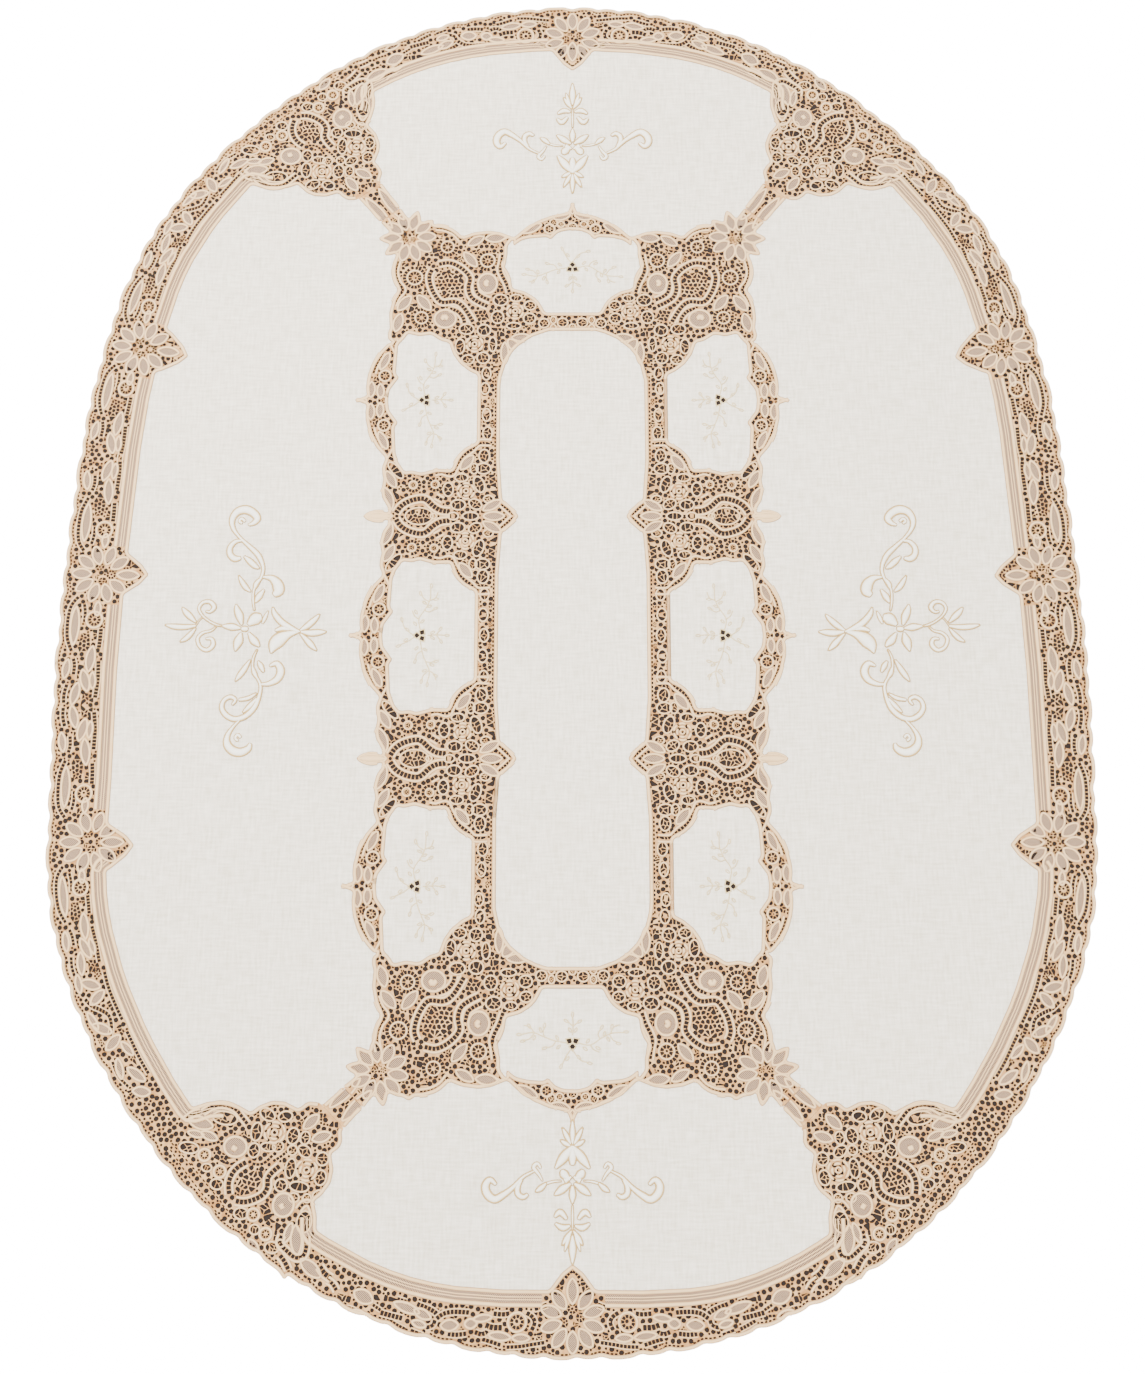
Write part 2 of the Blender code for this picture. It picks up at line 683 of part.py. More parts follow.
def bar_seams():
    """Narrow slots that part each bar from the flower and from the corner motif."""
    seams = []
    for corner in CORNERS:
        axis, span = bar_line(corner)
        for along in (PETAL_TIP + BAR_SEAM_PAST_FLOWER, span - BAR_SEAM_BEFORE_MOTIF):
            slot = rectangle(along - SEAM_GAP / 2, -BAR_SEAM_REACH, along + SEAM_GAP / 2, BAR_SEAM_REACH)
            slot = placed(slot, (corner.flower_x, corner.flower_y), axis)
            seams += [mirrored(slot, side_x, corner.side_y) for side_x in (1, -1)]
    return seams


def trefoil(inset):
    """Three diamond holes in an inset panel."""
    middle = (TREFOIL_ROOT + TREFOIL_REACH) / 2
    half = TREFOIL_WIDTH / 2
    diamond = [(TREFOIL_ROOT, 0), (middle, -half), (TREFOIL_REACH, 0), (middle, half)]
    return [placed(diamond, (inset.x, inset.y), inset.trefoil_angle + 120.0 * k) for k in range(3)]


def inset_rows():
    """Middle of each inset panel's trefoil, and the direction that it points."""
    rows = [InsetRow(side_x * TREFOIL_X, y, 90.0 - 90.0 * side_x)
            for side_x in (-1, 1) for y in (SIDE_INSET_Y, 0.0, -SIDE_INSET_Y)]
    return rows + [InsetRow(0.0, side_y * TREFOIL_END_Y, 90.0 * side_y) for side_y in (1, -1)]


def linen_name(x, y, width, length):
    """Name of the linen panel whose box has this middle, width and length."""
    if hypot(x, y) < CENTRE_REACH:
        return "linen_centre"
    if length > width:
        return "linen_field_left" if x < 0 else "linen_field_right"
    return "linen_field_far" if y > 0 else "linen_field_near"


def lace_and_windows():
    """The outline of all the lace, and the windows that it leaves for the linen."""
    verts, triangles, sources = partition([scalloped_edge(), field_edge()] + lace_patches())
    lace = [t for t, s in zip(triangles, sources) if (0 in s and 1 not in s) or any(k > 1 for k in s)]
    loops = boundary_loops(verts, lace)
    edge = counter_clockwise(simplified(max(loops, key=signed_area)))
    windows = [loop for loop in loops if signed_area(loop) < -SMALLEST_WINDOW_AREA]
    return edge, [counter_clockwise(simplified(window)) for window in windows]


def build_lace(edge, windows, shift):
    """The lace, cut by its openings and parted at the ends of the bars."""
    seams = bar_seams()
    openings = kept_openings(lace_openings(), edge, windows, seams)
    verts, triangles, sources = partition([edge] + windows + seams + openings)
    lace = [t for t, s in zip(triangles, sources) if s == {0}]
    widest_first = sorted(components(lace), key=lambda part: -extent([verts[v] for t in part for v in t])[2])
    names = ["lace_border", "lace_lattice"] + [f"lace_bar_{k + 1}" for k in range(len(widest_first) - 2)]
    for name, part in zip(names, widest_first):
        sheet(name, verts, part, LACE_THICKNESS, shift, LACE_FINISH)


def build_linen(window, shift):
    """The linen panel in one window, drawn in from the lace by the seam's gap."""
    panel = drawn_in(window, SEAM_GAP)
    x, y, width, length = extent(panel)
    insets = inset_rows()
    cuts = []
    if max(width, length) < LONGEST_INSET:
        index = min(range(len(insets)), key=lambda k: hypot(insets[k].x - x, insets[k].y - y))
        name = f"linen_inset_{index + 1}"
        cuts = trefoil(insets[index])
    else:
        name = linen_name(x, y, width, length)
    verts, triangles, sources = partition([panel] + cuts)
    cloth = [t for t, s in zip(triangles, sources) if s == {0}]
    sheet(name, verts, cloth, LINEN_THICKNESS, shift, LINEN_FINISH)


def main():
    for thing in list(bpy.data.objects):
        bpy.data.objects.remove(thing, do_unlink=True)
    edge, windows = lace_and_windows()
    middle_x, middle_y, _, _ = extent(edge)
    shift = (-middle_x, -middle_y)
    build_lace(edge, windows, shift)
    for window in windows:
        build_linen(window, shift)


main()
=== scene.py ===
"""Looks of an oval lace tablecloth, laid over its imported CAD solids.

The chart is in millimetres about the middle of the centre panel, with +Y towards the far end. The solids of
the frame give the outlines; this script adds the openwork, the raised tapes, the linen and the embroidery.
"""

import logging
import random
from dataclasses import dataclass, field
from enum import Enum
from math import atan2, ceil, copysign, cos, hypot, pi, radians, sin
from typing import Any, Callable, Iterable, NamedTuple, Optional, Sequence

import bpy
import numpy as np
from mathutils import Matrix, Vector
from mathutils.geometry import delaunay_2d_cdt


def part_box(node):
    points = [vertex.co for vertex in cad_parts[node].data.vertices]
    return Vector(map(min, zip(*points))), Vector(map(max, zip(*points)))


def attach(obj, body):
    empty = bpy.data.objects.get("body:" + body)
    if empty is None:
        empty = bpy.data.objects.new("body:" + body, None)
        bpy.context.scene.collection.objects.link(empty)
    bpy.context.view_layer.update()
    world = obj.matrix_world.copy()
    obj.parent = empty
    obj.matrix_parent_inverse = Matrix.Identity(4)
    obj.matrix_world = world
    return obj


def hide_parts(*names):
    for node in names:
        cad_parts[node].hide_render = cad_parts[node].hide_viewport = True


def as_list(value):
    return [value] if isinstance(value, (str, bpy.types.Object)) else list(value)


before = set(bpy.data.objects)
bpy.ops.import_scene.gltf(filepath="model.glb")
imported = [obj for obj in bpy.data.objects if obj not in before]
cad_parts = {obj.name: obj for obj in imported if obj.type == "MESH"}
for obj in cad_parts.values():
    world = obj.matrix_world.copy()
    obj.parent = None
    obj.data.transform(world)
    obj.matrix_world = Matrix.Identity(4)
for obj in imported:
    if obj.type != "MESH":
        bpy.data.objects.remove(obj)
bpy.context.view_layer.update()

log = logging.getLogger("tablecloth")

Point = tuple[float, float]
Loop = list[Point]
Place = Callable[[Point], Point]

MM = 0.001
# How much of a cell's corners and of an outline's is cut, the latter by share and by reach.
CORNER_CUT = 0.16
EDGE_EASE = (0.25, 2.5)
# Rows of round things that nest lie this share of their pitch apart.
NESTED = 0.87
# Openings of a CAD node that are larger than this, in square millimetres, are windows for other pieces.
WINDOW_AREA = 1500.0
# Discs are looked up by squares of this side, in millimetres.
DISC_GRID = 12.0


class Slot(str, Enum):
    """Names of material slots."""

    LACE = "tape_lace"
    LINEN = "linen"


# ---- tables of the chart, in millimetres and degrees ----
class EdgeRow(NamedTuple):
    """One direction of the cloth's edge: radii to the right and left, and the border's width there."""

    angle: float
    right: float
    left: float
    band: float


class Leaf(NamedTuple):
    """A leaf of net inside a tape."""

    x: float
    y: float
    length: float
    width: float
    angle: float


class Pod(NamedTuple):
    """An oval of small cells, by its size across and along."""

    x: float
    y: float
    width: float
    height: float
    angle: float = 0.0


class Spiral(NamedTuple):
    """A ring of small cells inside a round tape, with an outer row from an angle through a sweep."""

    x: float
    y: float
    inner: float
    outer: float
    start: float
    sweep: float


class Route(NamedTuple):
    """A row of cells along a line, with the width of the cells and their pitch."""

    width: float
    pitch: float
    points: tuple


class Crease(NamedTuple):
    """A soft ridge, or a trough when its height is negative, from one end to the other."""

    x0: float
    y0: float
    x1: float
    y1: float
    width: float
    height: float


class Flower(NamedTuple):
    """A flower of the border: its middle, and the tip of its peak."""

    x: float
    y: float
    tip_x: float
    tip_y: float


class Wheel(NamedTuple):
    """A ring of cells inside a round tape: the tape's radius, and the width and pitch of the cells."""

    x: float
    y: float
    radius: float
    width: float
    pitch: float


def rows(kind: type, *data: tuple) -> tuple:
    """Plain rows as rows with named columns."""
    return tuple(kind(*row) for row in data)


EDGE = rows(
    EdgeRow,
    (90, 1164, 1164, 84), (75, 1144, 1145, 71), (60, 1089, 1092, 78), (45, 1023, 1027, 85),
    (30, 929, 933, 94), (15, 860, 865, 99), (0, 843, 846, 99), (-15, 872, 873, 97), (-30, 950, 951, 89),
    (-45, 1017, 1015, 84), (-60, 1077, 1073, 79), (-75, 1116, 1111, 75), (-90, 1123, 1123, 97),
)
EDGE_STEP = 15.0

FLOWERS = rows(
    Flower,
    (0, 1105, 0, 1040), (739, 509, 655, 497), (782, 105, 701, 102), (773, -343, 701, -343),
    (0, -1068, 0, -990), (-773, -343, -701, -343), (-782, 105, -701, 102), (-739, 509, -655, 497),
)


# ---- plane geometry ----
# How full a leaf's sides are; 1 is a sine.
LEAF_FULLNESS = 0.66
# Corners nearer than this, in millimetres, are one corner.
MERGE = 1e-4


def catmull_rom(a: float, b: float, c: float, d: float, t: float) -> float:
    """A smooth value between the second and third of four, by a share of the way."""
    square, cube = 2 * a - 5 * b + 4 * c - d, 3 * b - a - 3 * c + d
    return 0.5 * (2 * b + (c - a) * t + square * t ** 2 + cube * t ** 3)


def smooth(points: Sequence[Point], step: float = 3.0) -> Loop:
    """A smooth line through the points, at even steps.

    Args:
        points: The line's corners, as rows of numbers.
        step: Length between the returned points.

    Returns:
        The points of the smooth line.
    """
    ends = [points[0], *points, points[-1]]
    dense = []
    for four in zip(ends, ends[1:], ends[2:], ends[3:]):
        for k in range(8):
            dense.append(tuple(catmull_rom(*column, k / 8) for column in zip(*four)))
    dense.append(tuple(points[-1]))
    return even(dense, step)


def even(points: Sequence[Point], step: float) -> list:
    """The same line at even steps; every column is interpolated.

    Args:
        points: Rows whose first two columns are a place.
        step: Length between the returned rows.

    Returns:
        Rows about one step apart.
    """
    data = np.asarray(points, float)
    lengths = np.r_[0.0, np.cumsum(np.hypot(*np.diff(data[:, :2], axis=0).T))]
    count = max(2, round(lengths[-1] / step))
    targets = np.linspace(0.0, lengths[-1], count + 1)
    columns = [np.interp(targets, lengths, column) for column in data.T]
    return [tuple(row) for row in np.stack(columns, axis=1).tolist()]


def closed(loop: Sequence[Point]) -> Loop:
    """The loop with its first points repeated at its end, so that a line along it closes."""
    return [*loop, *loop[:2]]


def even_loop(loop: Sequence[Point], step: float) -> Loop:
    """The same loop at even steps."""
    return even([*loop, loop[0]], step)[:-1]


def chaikin(loop: Sequence[Point], cut: float = 0.25, reach: float = 1e6) -> Loop:
    """A loop with each corner cut once.

    Args:
        loop: The outline.
        cut: Share of a side that is cut at each of its ends.
        reach: The most that is cut, in millimetres.

    Returns:
        An outline with twice as many corners.
    """
    eased = []
    for (x0, y0), (x1, y1) in zip(loop, [*loop[1:], loop[0]]):
        share = min(cut, reach / max(hypot(x1 - x0, y1 - y0), 1e-6))
        eased.append((x0 + (x1 - x0) * share, y0 + (y1 - y0) * share))
        eased.append((x1 + (x0 - x1) * share, y1 + (y0 - y1) * share))
    return eased


def area(loop: Sequence[Point]) -> float:
    """Signed area of a loop."""
    return 0.5 * sum(x0 * y1 - x1 * y0 for (x0, y0), (x1, y1) in zip(loop, [*loop[1:], loop[0]]))


def centroid(loop: Sequence[Point]) -> Point:
    """Mean of a loop's corners."""
    return sum(p[0] for p in loop) / len(loop), sum(p[1] for p in loop) / len(loop)


def turned(points: Iterable[Point], angle: float, centre: Point = (0.0, 0.0)) -> Loop:
    """Points turned by an angle about the origin, then moved to a centre."""
    c, s = cos(radians(angle)), sin(radians(angle))
    return [(centre[0] + x * c - y * s, centre[1] + x * s + y * c) for x, y in points]


def oval(x: float, y: float, width: float, height: float, angle: float = 0.0, count: int = 12) -> Loop:
    """An oval outline."""
    turns = [2 * pi * k / count for k in range(count)]
    return turned([(width / 2 * cos(a), height / 2 * sin(a)) for a in turns], angle, (x, y))


def lens(x: float, y: float, length: float, width: float, angle: float, count: int = 8) -> Loop:
    """A leaf outline with softly pointed ends.

    Args:
        x: Its middle across.
        y: Its middle along.
        length: Its length.
        width: Its width.
        angle: Its turn, in degrees.
        count: How many steps each side has.

    Returns:
        The outline.
    """
    shares = [k / count for k in range(count + 1)]
    side = [(length * (share - 0.5), width / 2 * sin(pi * share) ** LEAF_FULLNESS) for share in shares]
    return turned(side + [(px, -py) for px, py in reversed(side[1:-1])], angle, (x, y))


def offset(points: Sequence[Point], distance: float, is_closed: bool = False) -> Loop:
    """A line moved to its left by a distance.

    Args:
        points: The line.
        distance: How far, to the left of travel when positive.
        is_closed: Whether the line is a loop.

    Returns:
        As many points as the line has.
    """
    data = np.asarray(points, float)[:, :2]
    if is_closed:
        way = np.roll(data, -1, axis=0) - np.roll(data, 1, axis=0)
    else:
        way = np.gradient(data, axis=0)
    way /= np.maximum(np.hypot(way[:, 0], way[:, 1]), 1e-9)[:, None]
    moved = data + np.stack([-way[:, 1], way[:, 0]], axis=1) * distance
    return [tuple(p) for p in moved.tolist()]


def swept(points: Sequence[tuple]) -> Loop:
    """The outline of a line that swells and thins.

    Args:
        points: Its (x, y, width) rows.

    Returns:
        The outline.
    """
    line = smooth(points)
    half = np.asarray(line)[:, 2:3] / 2
    data = np.asarray(line)[:, :2]
    side = np.asarray(offset(line, 1.0)) - data
    return [tuple(p) for p in np.r_[data + side * half, (data - side * half)[::-1]].tolist()]


def clipped(loop: Loop, x: float, y: float, nx: float, ny: float) -> Loop:
    """The part of a convex loop on the far side of a line from its normal.

    Args:
        loop: The convex outline.
        x: A point of the line, across.
        y: The same point, along.
        nx: The line's normal, across.
        ny: The line's normal, along.

    Returns:
        What is left of the outline.
    """
    result = []
    for (x0, y0), (x1, y1) in zip(loop, [*loop[1:], loop[0]]):
        d0 = (x0 - x) * nx + (y0 - y) * ny
        d1 = (x1 - x) * nx + (y1 - y) * ny
        if d0 <= 0:
            result.append((x0, y0))
        if (d0 < 0) != (d1 < 0) and d0 != d1:
            t = d0 / (d0 - d1)
            result.append((x0 + (x1 - x0) * t, y0 + (y1 - y0) * t))
    return result


def inside(points: np.ndarray, loop: Sequence[Point]) -> np.ndarray:
    """Which points lie in a loop.

    Args:
        points: The points, one a row.
        loop: The outline.

    Returns:
        True or false for each point.
    """
    odd = np.zeros(len(points), bool)
    x, y = points[:, 0], points[:, 1]
    for (x0, y0), (x1, y1) in zip(loop, [*loop[1:], loop[0]]):
        if y0 == y1:
            continue
        odd ^= ((y0 > y) != (y1 > y)) & (x < x0 + (y - y0) / (y1 - y0) * (x1 - x0))
    return odd


def from_step(points: np.ndarray, x0: float, y0: float, x1: float,
              y1: float) -> tuple[np.ndarray, np.ndarray]:
    """Where points lie beside a straight step.

    Args:
        points: The points, one a row.
        x0: The step's start across.
        y0: The step's start along.
        x1: Its end across.
        y1: Its end along.

    Returns:
        The distance of each point from the step, and the share of the step at which it is nearest.
    """
    dx, dy = x1 - x0, y1 - y0
    x, y = points[:, 0] - x0, points[:, 1] - y0
    share = np.clip((x * dx + y * dy) / max(dx * dx + dy * dy, 1e-9), 0, 1)
    return np.hypot(x - dx * share, y - dy * share), share


def clearance(points: np.ndarray, loop: Sequence[Point]) -> np.ndarray:
    """Distance of each point from a loop's edges."""
    nearest = np.full(len(points), 1e9)
    for (x0, y0), (x1, y1) in zip(loop, [*loop[1:], loop[0]]):
        np.minimum(nearest, from_step(points, x0, y0, x1, y1)[0], out=nearest)
    return nearest


def grid_points(low: np.ndarray, high: np.ndarray, step: float) -> np.ndarray:
    """Points at even steps over a box, one a row."""
    across, along = (np.arange(low[k], high[k], step) for k in (0, 1))
    return np.stack(np.meshgrid(across, along), axis=-1).reshape(-1, 2)


def cell_between(start: Point, end: Point, length: float, width: float) -> Loop:
    """An opening along the middle of a step of a line.

    Args:
        start: Where the step starts.
        end: Where it ends.
        length: Length of the opening.
        width: Width of the opening.

    Returns:
        The opening's outline, with its corners cut.
    """
    (x0, y0), (x1, y1) = start[:2], end[:2]
    half, side = length / 2, width / 2
    box = [(-half, -side), (half, -side), (half, side), (-half, side)]
    angle = atan2(y1 - y0, x1 - x0) * 180 / pi
    return chaikin(turned(box, angle, ((x0 + x1) / 2, (y0 + y1) / 2)), CORNER_CUT)


def stretches(line: Sequence[tuple], free: Sequence[bool], fewest: int = 3) -> list[list]:
    """The parts of a line where a test holds.

    Args:
        line: The line's rows.
        free: Whether the test holds at each.
        fewest: How many rows a part has at least.

    Returns:
        The parts, in order.
    """
    parts, part = [], []
    for row, ok in zip([*line, None], [*free, False]):
        if ok:
            part.append(row)
            continue
        if len(part) >= fewest:
            parts.append(part)
        part = []
    return parts


def spaced(discs: Iterable[tuple[float, float, float]], share: float = 1.0) -> list[int]:
    """Which discs are left when each that runs into an earlier one is dropped.

    Args:
        discs: The middle and radius of each.
        share: Share of two radii that has to lie between the middles.

    Returns:
        The places in the list of those that are left.
    """
    kept: list[int] = []
    grid: dict[tuple[int, int], list[tuple[float, float, float]]] = {}
    for k, (x, y, radius) in enumerate(discs):
        column, rank = int(x // DISC_GRID), int(y // DISC_GRID)
        near = [disc for i in (-1, 0, 1) for j in (-1, 0, 1) for disc in grid.get((column + i, rank + j), ())]
        if all(hypot(x - ox, y - oy) > (radius + other) * share for ox, oy, other in near):
            kept.append(k)
            grid.setdefault((column, rank), []).append((x, y, radius))
    return kept


def partition(loops: Sequence[Loop], inner: Sequence[Point] = ()) -> tuple[list, list, list]:
    """Triangles of the plane cut along every loop.

    Args:
        loops: Closed outlines, which may overlap.
        inner: Further points to take in.

    Returns:
        The corners, the triangles, and for each triangle the loops that it lies in.
    """
    verts, faces = [], []
    for loop in loops:
        if area(loop) < 0:
            loop = loop[::-1]
        faces.append(list(range(len(verts), len(verts) + len(loop))))
        verts += [Vector(p) for p in loop]
    verts += [Vector(p) for p in inner]
    corners, _, triangles, _, _, sources = delaunay_2d_cdt(verts, [], faces, 1, MERGE)
    return corners, triangles, [set(source) for source in sources]


def compact(corners: Sequence[Vector], faces: Sequence[Sequence[int]]) -> tuple[np.ndarray, list[list[int]]]:
    """The corners that some faces use, and the faces numbered anew.

    Args:
        corners: All the corners.
        faces: The faces that are kept.

    Returns:
        The used corners, one a row, and the faces by their new numbers.
    """
    used = sorted({v for face in faces for v in face})
    index = {v: k for k, v in enumerate(used)}
    return np.asarray([tuple(corners[v]) for v in used]), [[index[v] for v in face] for face in faces]


# ---- finishes ----
def linear(colour: str) -> tuple[float, float, float, float]:
    """A linear colour from an sRGB hex."""
    parts = [int(colour[k:k + 2], 16) / 255 for k in (1, 3, 5)]
    return (*(c / 12.92 if c <= 0.04045 else ((c + 0.055) / 1.055) ** 2.4 for c in parts), 1.0)


class Surface:
    """A material while it is made, with one method that adds a node."""

    def __init__(self, name: str) -> None:
        """Starts an empty material and finds the place on its object."""
        self.made = bpy.data.materials.new(name)
        self.made.use_nodes = True
        self.made.node_tree.nodes.clear()
        self.place = self.node("TexCoord", out="Object")

    def node(self, kind: str, inputs: Any = (), out: Any = 0,
             **settings: Any) -> Optional[bpy.types.NodeSocket]:
        """Adds a shader node with its settings and links.

        Args:
            kind: The node's type, without the ShaderNode prefix.
            inputs: Values, or sockets to link from, in order or by the name or index of the input.
            out: Name or index of the output that is given back.
            **settings: The node's properties.

        Returns:
            One output of the node, or None where it has none.
        """
        tree = self.made.node_tree
        added = tree.nodes.new("ShaderNode" + kind)
        for name, value in settings.items():
            setattr(added, name, value)
        for key, value in inputs.items() if isinstance(inputs, dict) else enumerate(inputs):
            if isinstance(value, bpy.types.NodeSocket):
                tree.links.new(value, added.inputs[key])
            else:
                added.inputs[key].default_value = value
        return added.outputs[out] if len(added.outputs) else None

    def waves(self, place: bpy.types.NodeSocket, pitch: float) -> list[bpy.types.NodeSocket]:
        """Waves across and along a place, one a pitch.

        Args:
            place: The socket that gives the place.
            pitch: Length of half a wave, in metres.

        Returns:
            The sockets of the two waves, from -1 to 1.
        """
        found = []
        for axis in ("X", "Y"):
            reach = self.node("SeparateXYZ", (place,), axis)
            phase = self.node("Math", (reach, pi / pitch), operation="MULTIPLY")
            found.append(self.node("Math", (phase,), operation="SINE"))
        return found

    def weave(self, pitch: float) -> bpy.types.NodeSocket:
        """Height of a plain weave, from 0 to 1, by the length from thread to thread in metres."""
        crossed = self.node("Math", self.waves(self.place, pitch), operation="MULTIPLY")
        return self.node("Math", (crossed, 0.5, 0.5), operation="MULTIPLY_ADD")

    def ended(self, shader: bpy.types.NodeSocket) -> bpy.types.Material:
        """The material, with its shader at its output."""
        self.node("OutputMaterial", (shader,))
        return self.made


@dataclass(frozen=True)
class TapeCotton:
    """Machine-woven cotton tape: cream in the middle, with painted shade along its edges where the rounded
    tape turns from the light, and a fine weave.
    """

    middle: str = "#EFCB98"
    # The edge colour is painted shade, laid where the tape's rounded sides turn from the light.
    edge: str = "#7E4E20"
    shade: str = "#DDB077"
    # The tape's threads lie about 0.4 mm apart; they are drawn four times as coarse, so that they show.
    weave: float = 0.0016

    def material(self) -> bpy.types.Material:
        """Builds the material."""
        tape = Surface("woven_cotton_tape")
        across = tape.node("Attribute", (), "Fac", attribute_name="across")
        # rim: mask of the painted shade, rising towards both sides of the tape.
        rim = tape.node("Math", (tape.node("Math", (across,), operation="ABSOLUTE"), 2.4), operation="POWER")
        patch = tape.node("TexNoise", {"Vector": tape.place, "Scale": 38.0, "Detail": 3.0}, "Fac")
        shaded = tape.node("Math", (patch, 0.7), operation="MULTIPLY")
        body = tape.node(
            "Mix", {0: shaded, 6: linear(self.middle), 7: linear(self.shade)}, 2, data_type="RGBA")
        colour = tape.node("Mix", {0: rim, 6: body, 7: linear(self.edge)}, 2, data_type="RGBA")
        bump = tape.node("Bump", {"Strength": 0.35, "Distance": 0.0003, "Height": tape.weave(self.weave)})
        return tape.ended(tape.node("BsdfPrincipled", {
            "Base Color": colour, "Roughness": 0.88, "IOR": 1.47, "Normal": bump,
            "Sheen Weight": 0.25, "Sheen Roughness": 0.5}))


@dataclass(frozen=True)
class WorkedLace:
    """Close needle-worked ground between the tapes: peach cotton that mottles where the work is denser."""

    light: str = "#D9AA70"
    dark: str = "#B07A42"
    # The stitches lie about 0.5 mm apart; they are drawn four times as coarse, so that they show.
    thread: float = 0.0020

    def material(self) -> bpy.types.Material:
        """Builds the material."""
        ground = Surface("needle_worked_cotton")
        patch = ground.node("TexNoise", {"Vector": ground.place, "Scale": 70.0, "Detail": 4.0}, "Fac")
        spread = ground.node("MapRange", (patch, 0.35, 0.65))
        colour = ground.node(
            "Mix", {0: spread, 6: linear(self.light), 7: linear(self.dark)}, 2, data_type="RGBA")
        bump = ground.node("Bump", {"Strength": 0.5, "Distance": 0.0004, "Height": ground.weave(self.thread)})
        return ground.ended(ground.node("BsdfPrincipled", {
            "Base Color": colour, "Roughness": 0.9, "IOR": 1.47, "Normal": bump,
            "Sheen Weight": 0.2, "Sheen Roughness": 0.5}))


@dataclass(frozen=True)
class NetFilling:
    """Fine square net in the leaves: grey-beige threads with holes that show what is below."""

    colour: str = "#B29274"
    # The net's meshes are about 1 mm wide; they are drawn at twice that, so that they show.
    pitch: float = 0.0022
    thread_share: float = 0.58

    def material(self) -> bpy.types.Material:
        """Builds the material."""
        net = Surface("fine_cotton_net")
        slanted = net.node("Mapping", {0: net.place, "Rotation": (0.0, 0.0, pi / 4)})
        lines = [net.node("Math", (wave,), operation="ABSOLUTE") for wave in net.waves(slanted, self.pitch)]
        between = net.node("Math", lines, operation="MINIMUM")
        hole = net.node("Math", (between, self.thread_share), operation="GREATER_THAN")
        return net.ended(net.node("BsdfPrincipled", {
            "Base Color": linear(self.colour), "Roughness": 0.9, "IOR": 1.47,
            "Alpha": net.node("Math", (1.0, hole), operation="SUBTRACT")}))


@dataclass(frozen=True)
class PlainLinen:
    """Plain-woven linen: off-white, with uneven threads that show as faint bars both ways."""

    light: str = "#FAF0DE"
    dark: str = "#DCD0B9"
    # The threads lie about 0.5 mm apart; they are drawn five times as coarse, so that they show.
    weave: float = 0.0024
    # Thick places of a thread, per metre: about 33 mm long, and drawn 4 mm wide where they are under 1 mm.
    slub: tuple[float, float] = (30.0, 260.0)

    def material(self) -> bpy.types.Material:
        """Builds the material."""
        linen = Surface("plain_woven_linen")
        slubs = []
        for scale in (self.slub, self.slub[::-1]):
            stretched = linen.node("Mapping", {0: linen.place, "Scale": (*scale, 1.0)})
            slubs.append(linen.node("TexNoise", {"Vector": stretched, "Scale": 1.0, "Detail": 2.0}))
        both = linen.node("Math", slubs, operation="ADD")
        slub = linen.node("Math", (both, 0.5), operation="MULTIPLY")
        spread = linen.node("MapRange", (slub, 0.34, 0.66))
        colour = linen.node(
            "Mix", {0: spread, 6: linear(self.light), 7: linear(self.dark)}, 2, data_type="RGBA")
        raised = linen.node("Math", (slub, 2.0), operation="MULTIPLY")
        height = linen.node("Math", (raised, linen.weave(self.weave)), operation="ADD")
        bump = linen.node("Bump", {"Strength": 0.3, "Distance": 0.0003, "Height": height})
        return linen.ended(linen.node("BsdfPrincipled", {
            "Base Color": colour, "Roughness": 0.85, "IOR": 1.47, "Normal": bump,
            "Sheen Weight": 0.15, "Sheen Roughness": 0.5}))


@dataclass(frozen=True)
class SatinStitch:
    """Padded satin stitch in floss: bright on its crown in the floss's own colour, with painted tan shade
    towards its foot where it slopes into the linen.
    """

    name: str = "ivory_satin_stitch"
    crown: str = "#FFFAEA"
    # The foot colour is painted shade where the padded satin slopes down at its sides.
    foot: str = "#D0B078"
    # The stitches lie about 0.35 mm apart; in millimetres, they are drawn four times as coarse to show.
    stitch: float = 1.4

    def material(self) -> bpy.types.Material:
        """Builds the material."""
        floss = Surface(self.name)
        across = floss.node("Attribute", (), "Fac", attribute_name="across")
        along = floss.node("Attribute", (), "Fac", attribute_name="along")
        aside = floss.node("Math", (across,), operation="ABSOLUTE")
        # Painted shade: darker towards the sides of the stitch, made uneven by noise. The product below
        # carries it as depth.
        painted_side_shade = floss.node("Math", (aside, 2.5), operation="POWER")
        grain = floss.node("TexNoise", {"Vector": floss.place, "Scale": 60.0}, "Fac")
        uneven = floss.node("Math", (grain, 0.4), operation="ADD")
        depth = floss.node("Math", (painted_side_shade, uneven), operation="MULTIPLY")
        colour = floss.node(
            "Mix", {0: depth, 6: linear(self.crown), 7: linear(self.foot)}, 2, data_type="RGBA")
        phase = floss.node("Math", (along, 2 * pi / self.stitch), operation="MULTIPLY")
        laid = floss.node("Math", (phase,), operation="SINE")
        bump = floss.node("Bump", {"Strength": 0.3, "Distance": 0.0002, "Height": laid})
        return floss.ended(floss.node("BsdfPrincipled", {
            "Base Color": colour, "Roughness": 0.6, "IOR": 1.5, "Normal": bump,
            "Sheen Weight": 0.2, "Sheen Roughness": 0.4}))


@dataclass(frozen=True)
class PaintedBoard:
    """A plain painted surface for the stage, with a faint unevenness."""

    name: str
    colour: str
    roughness: float = 0.95
    glow: float = 0.0

    def material(self) -> bpy.types.Material:
        """Builds the material."""
        board = Surface(self.name)
        base = linear(self.colour)
        darker = (*(c * 0.97 for c in base[:3]), 1.0)
        grain = board.node("TexNoise", {"Vector": board.place, "Scale": 12.0}, "Fac")
        return board.ended(board.node("BsdfPrincipled", {
            "Base Color": board.node("Mix", {0: grain, 6: base, 7: darker}, 2, data_type="RGBA"),
            "Roughness": self.roughness, "IOR": 1.5, "Emission Color": base, "Emission Strength": self.glow}))


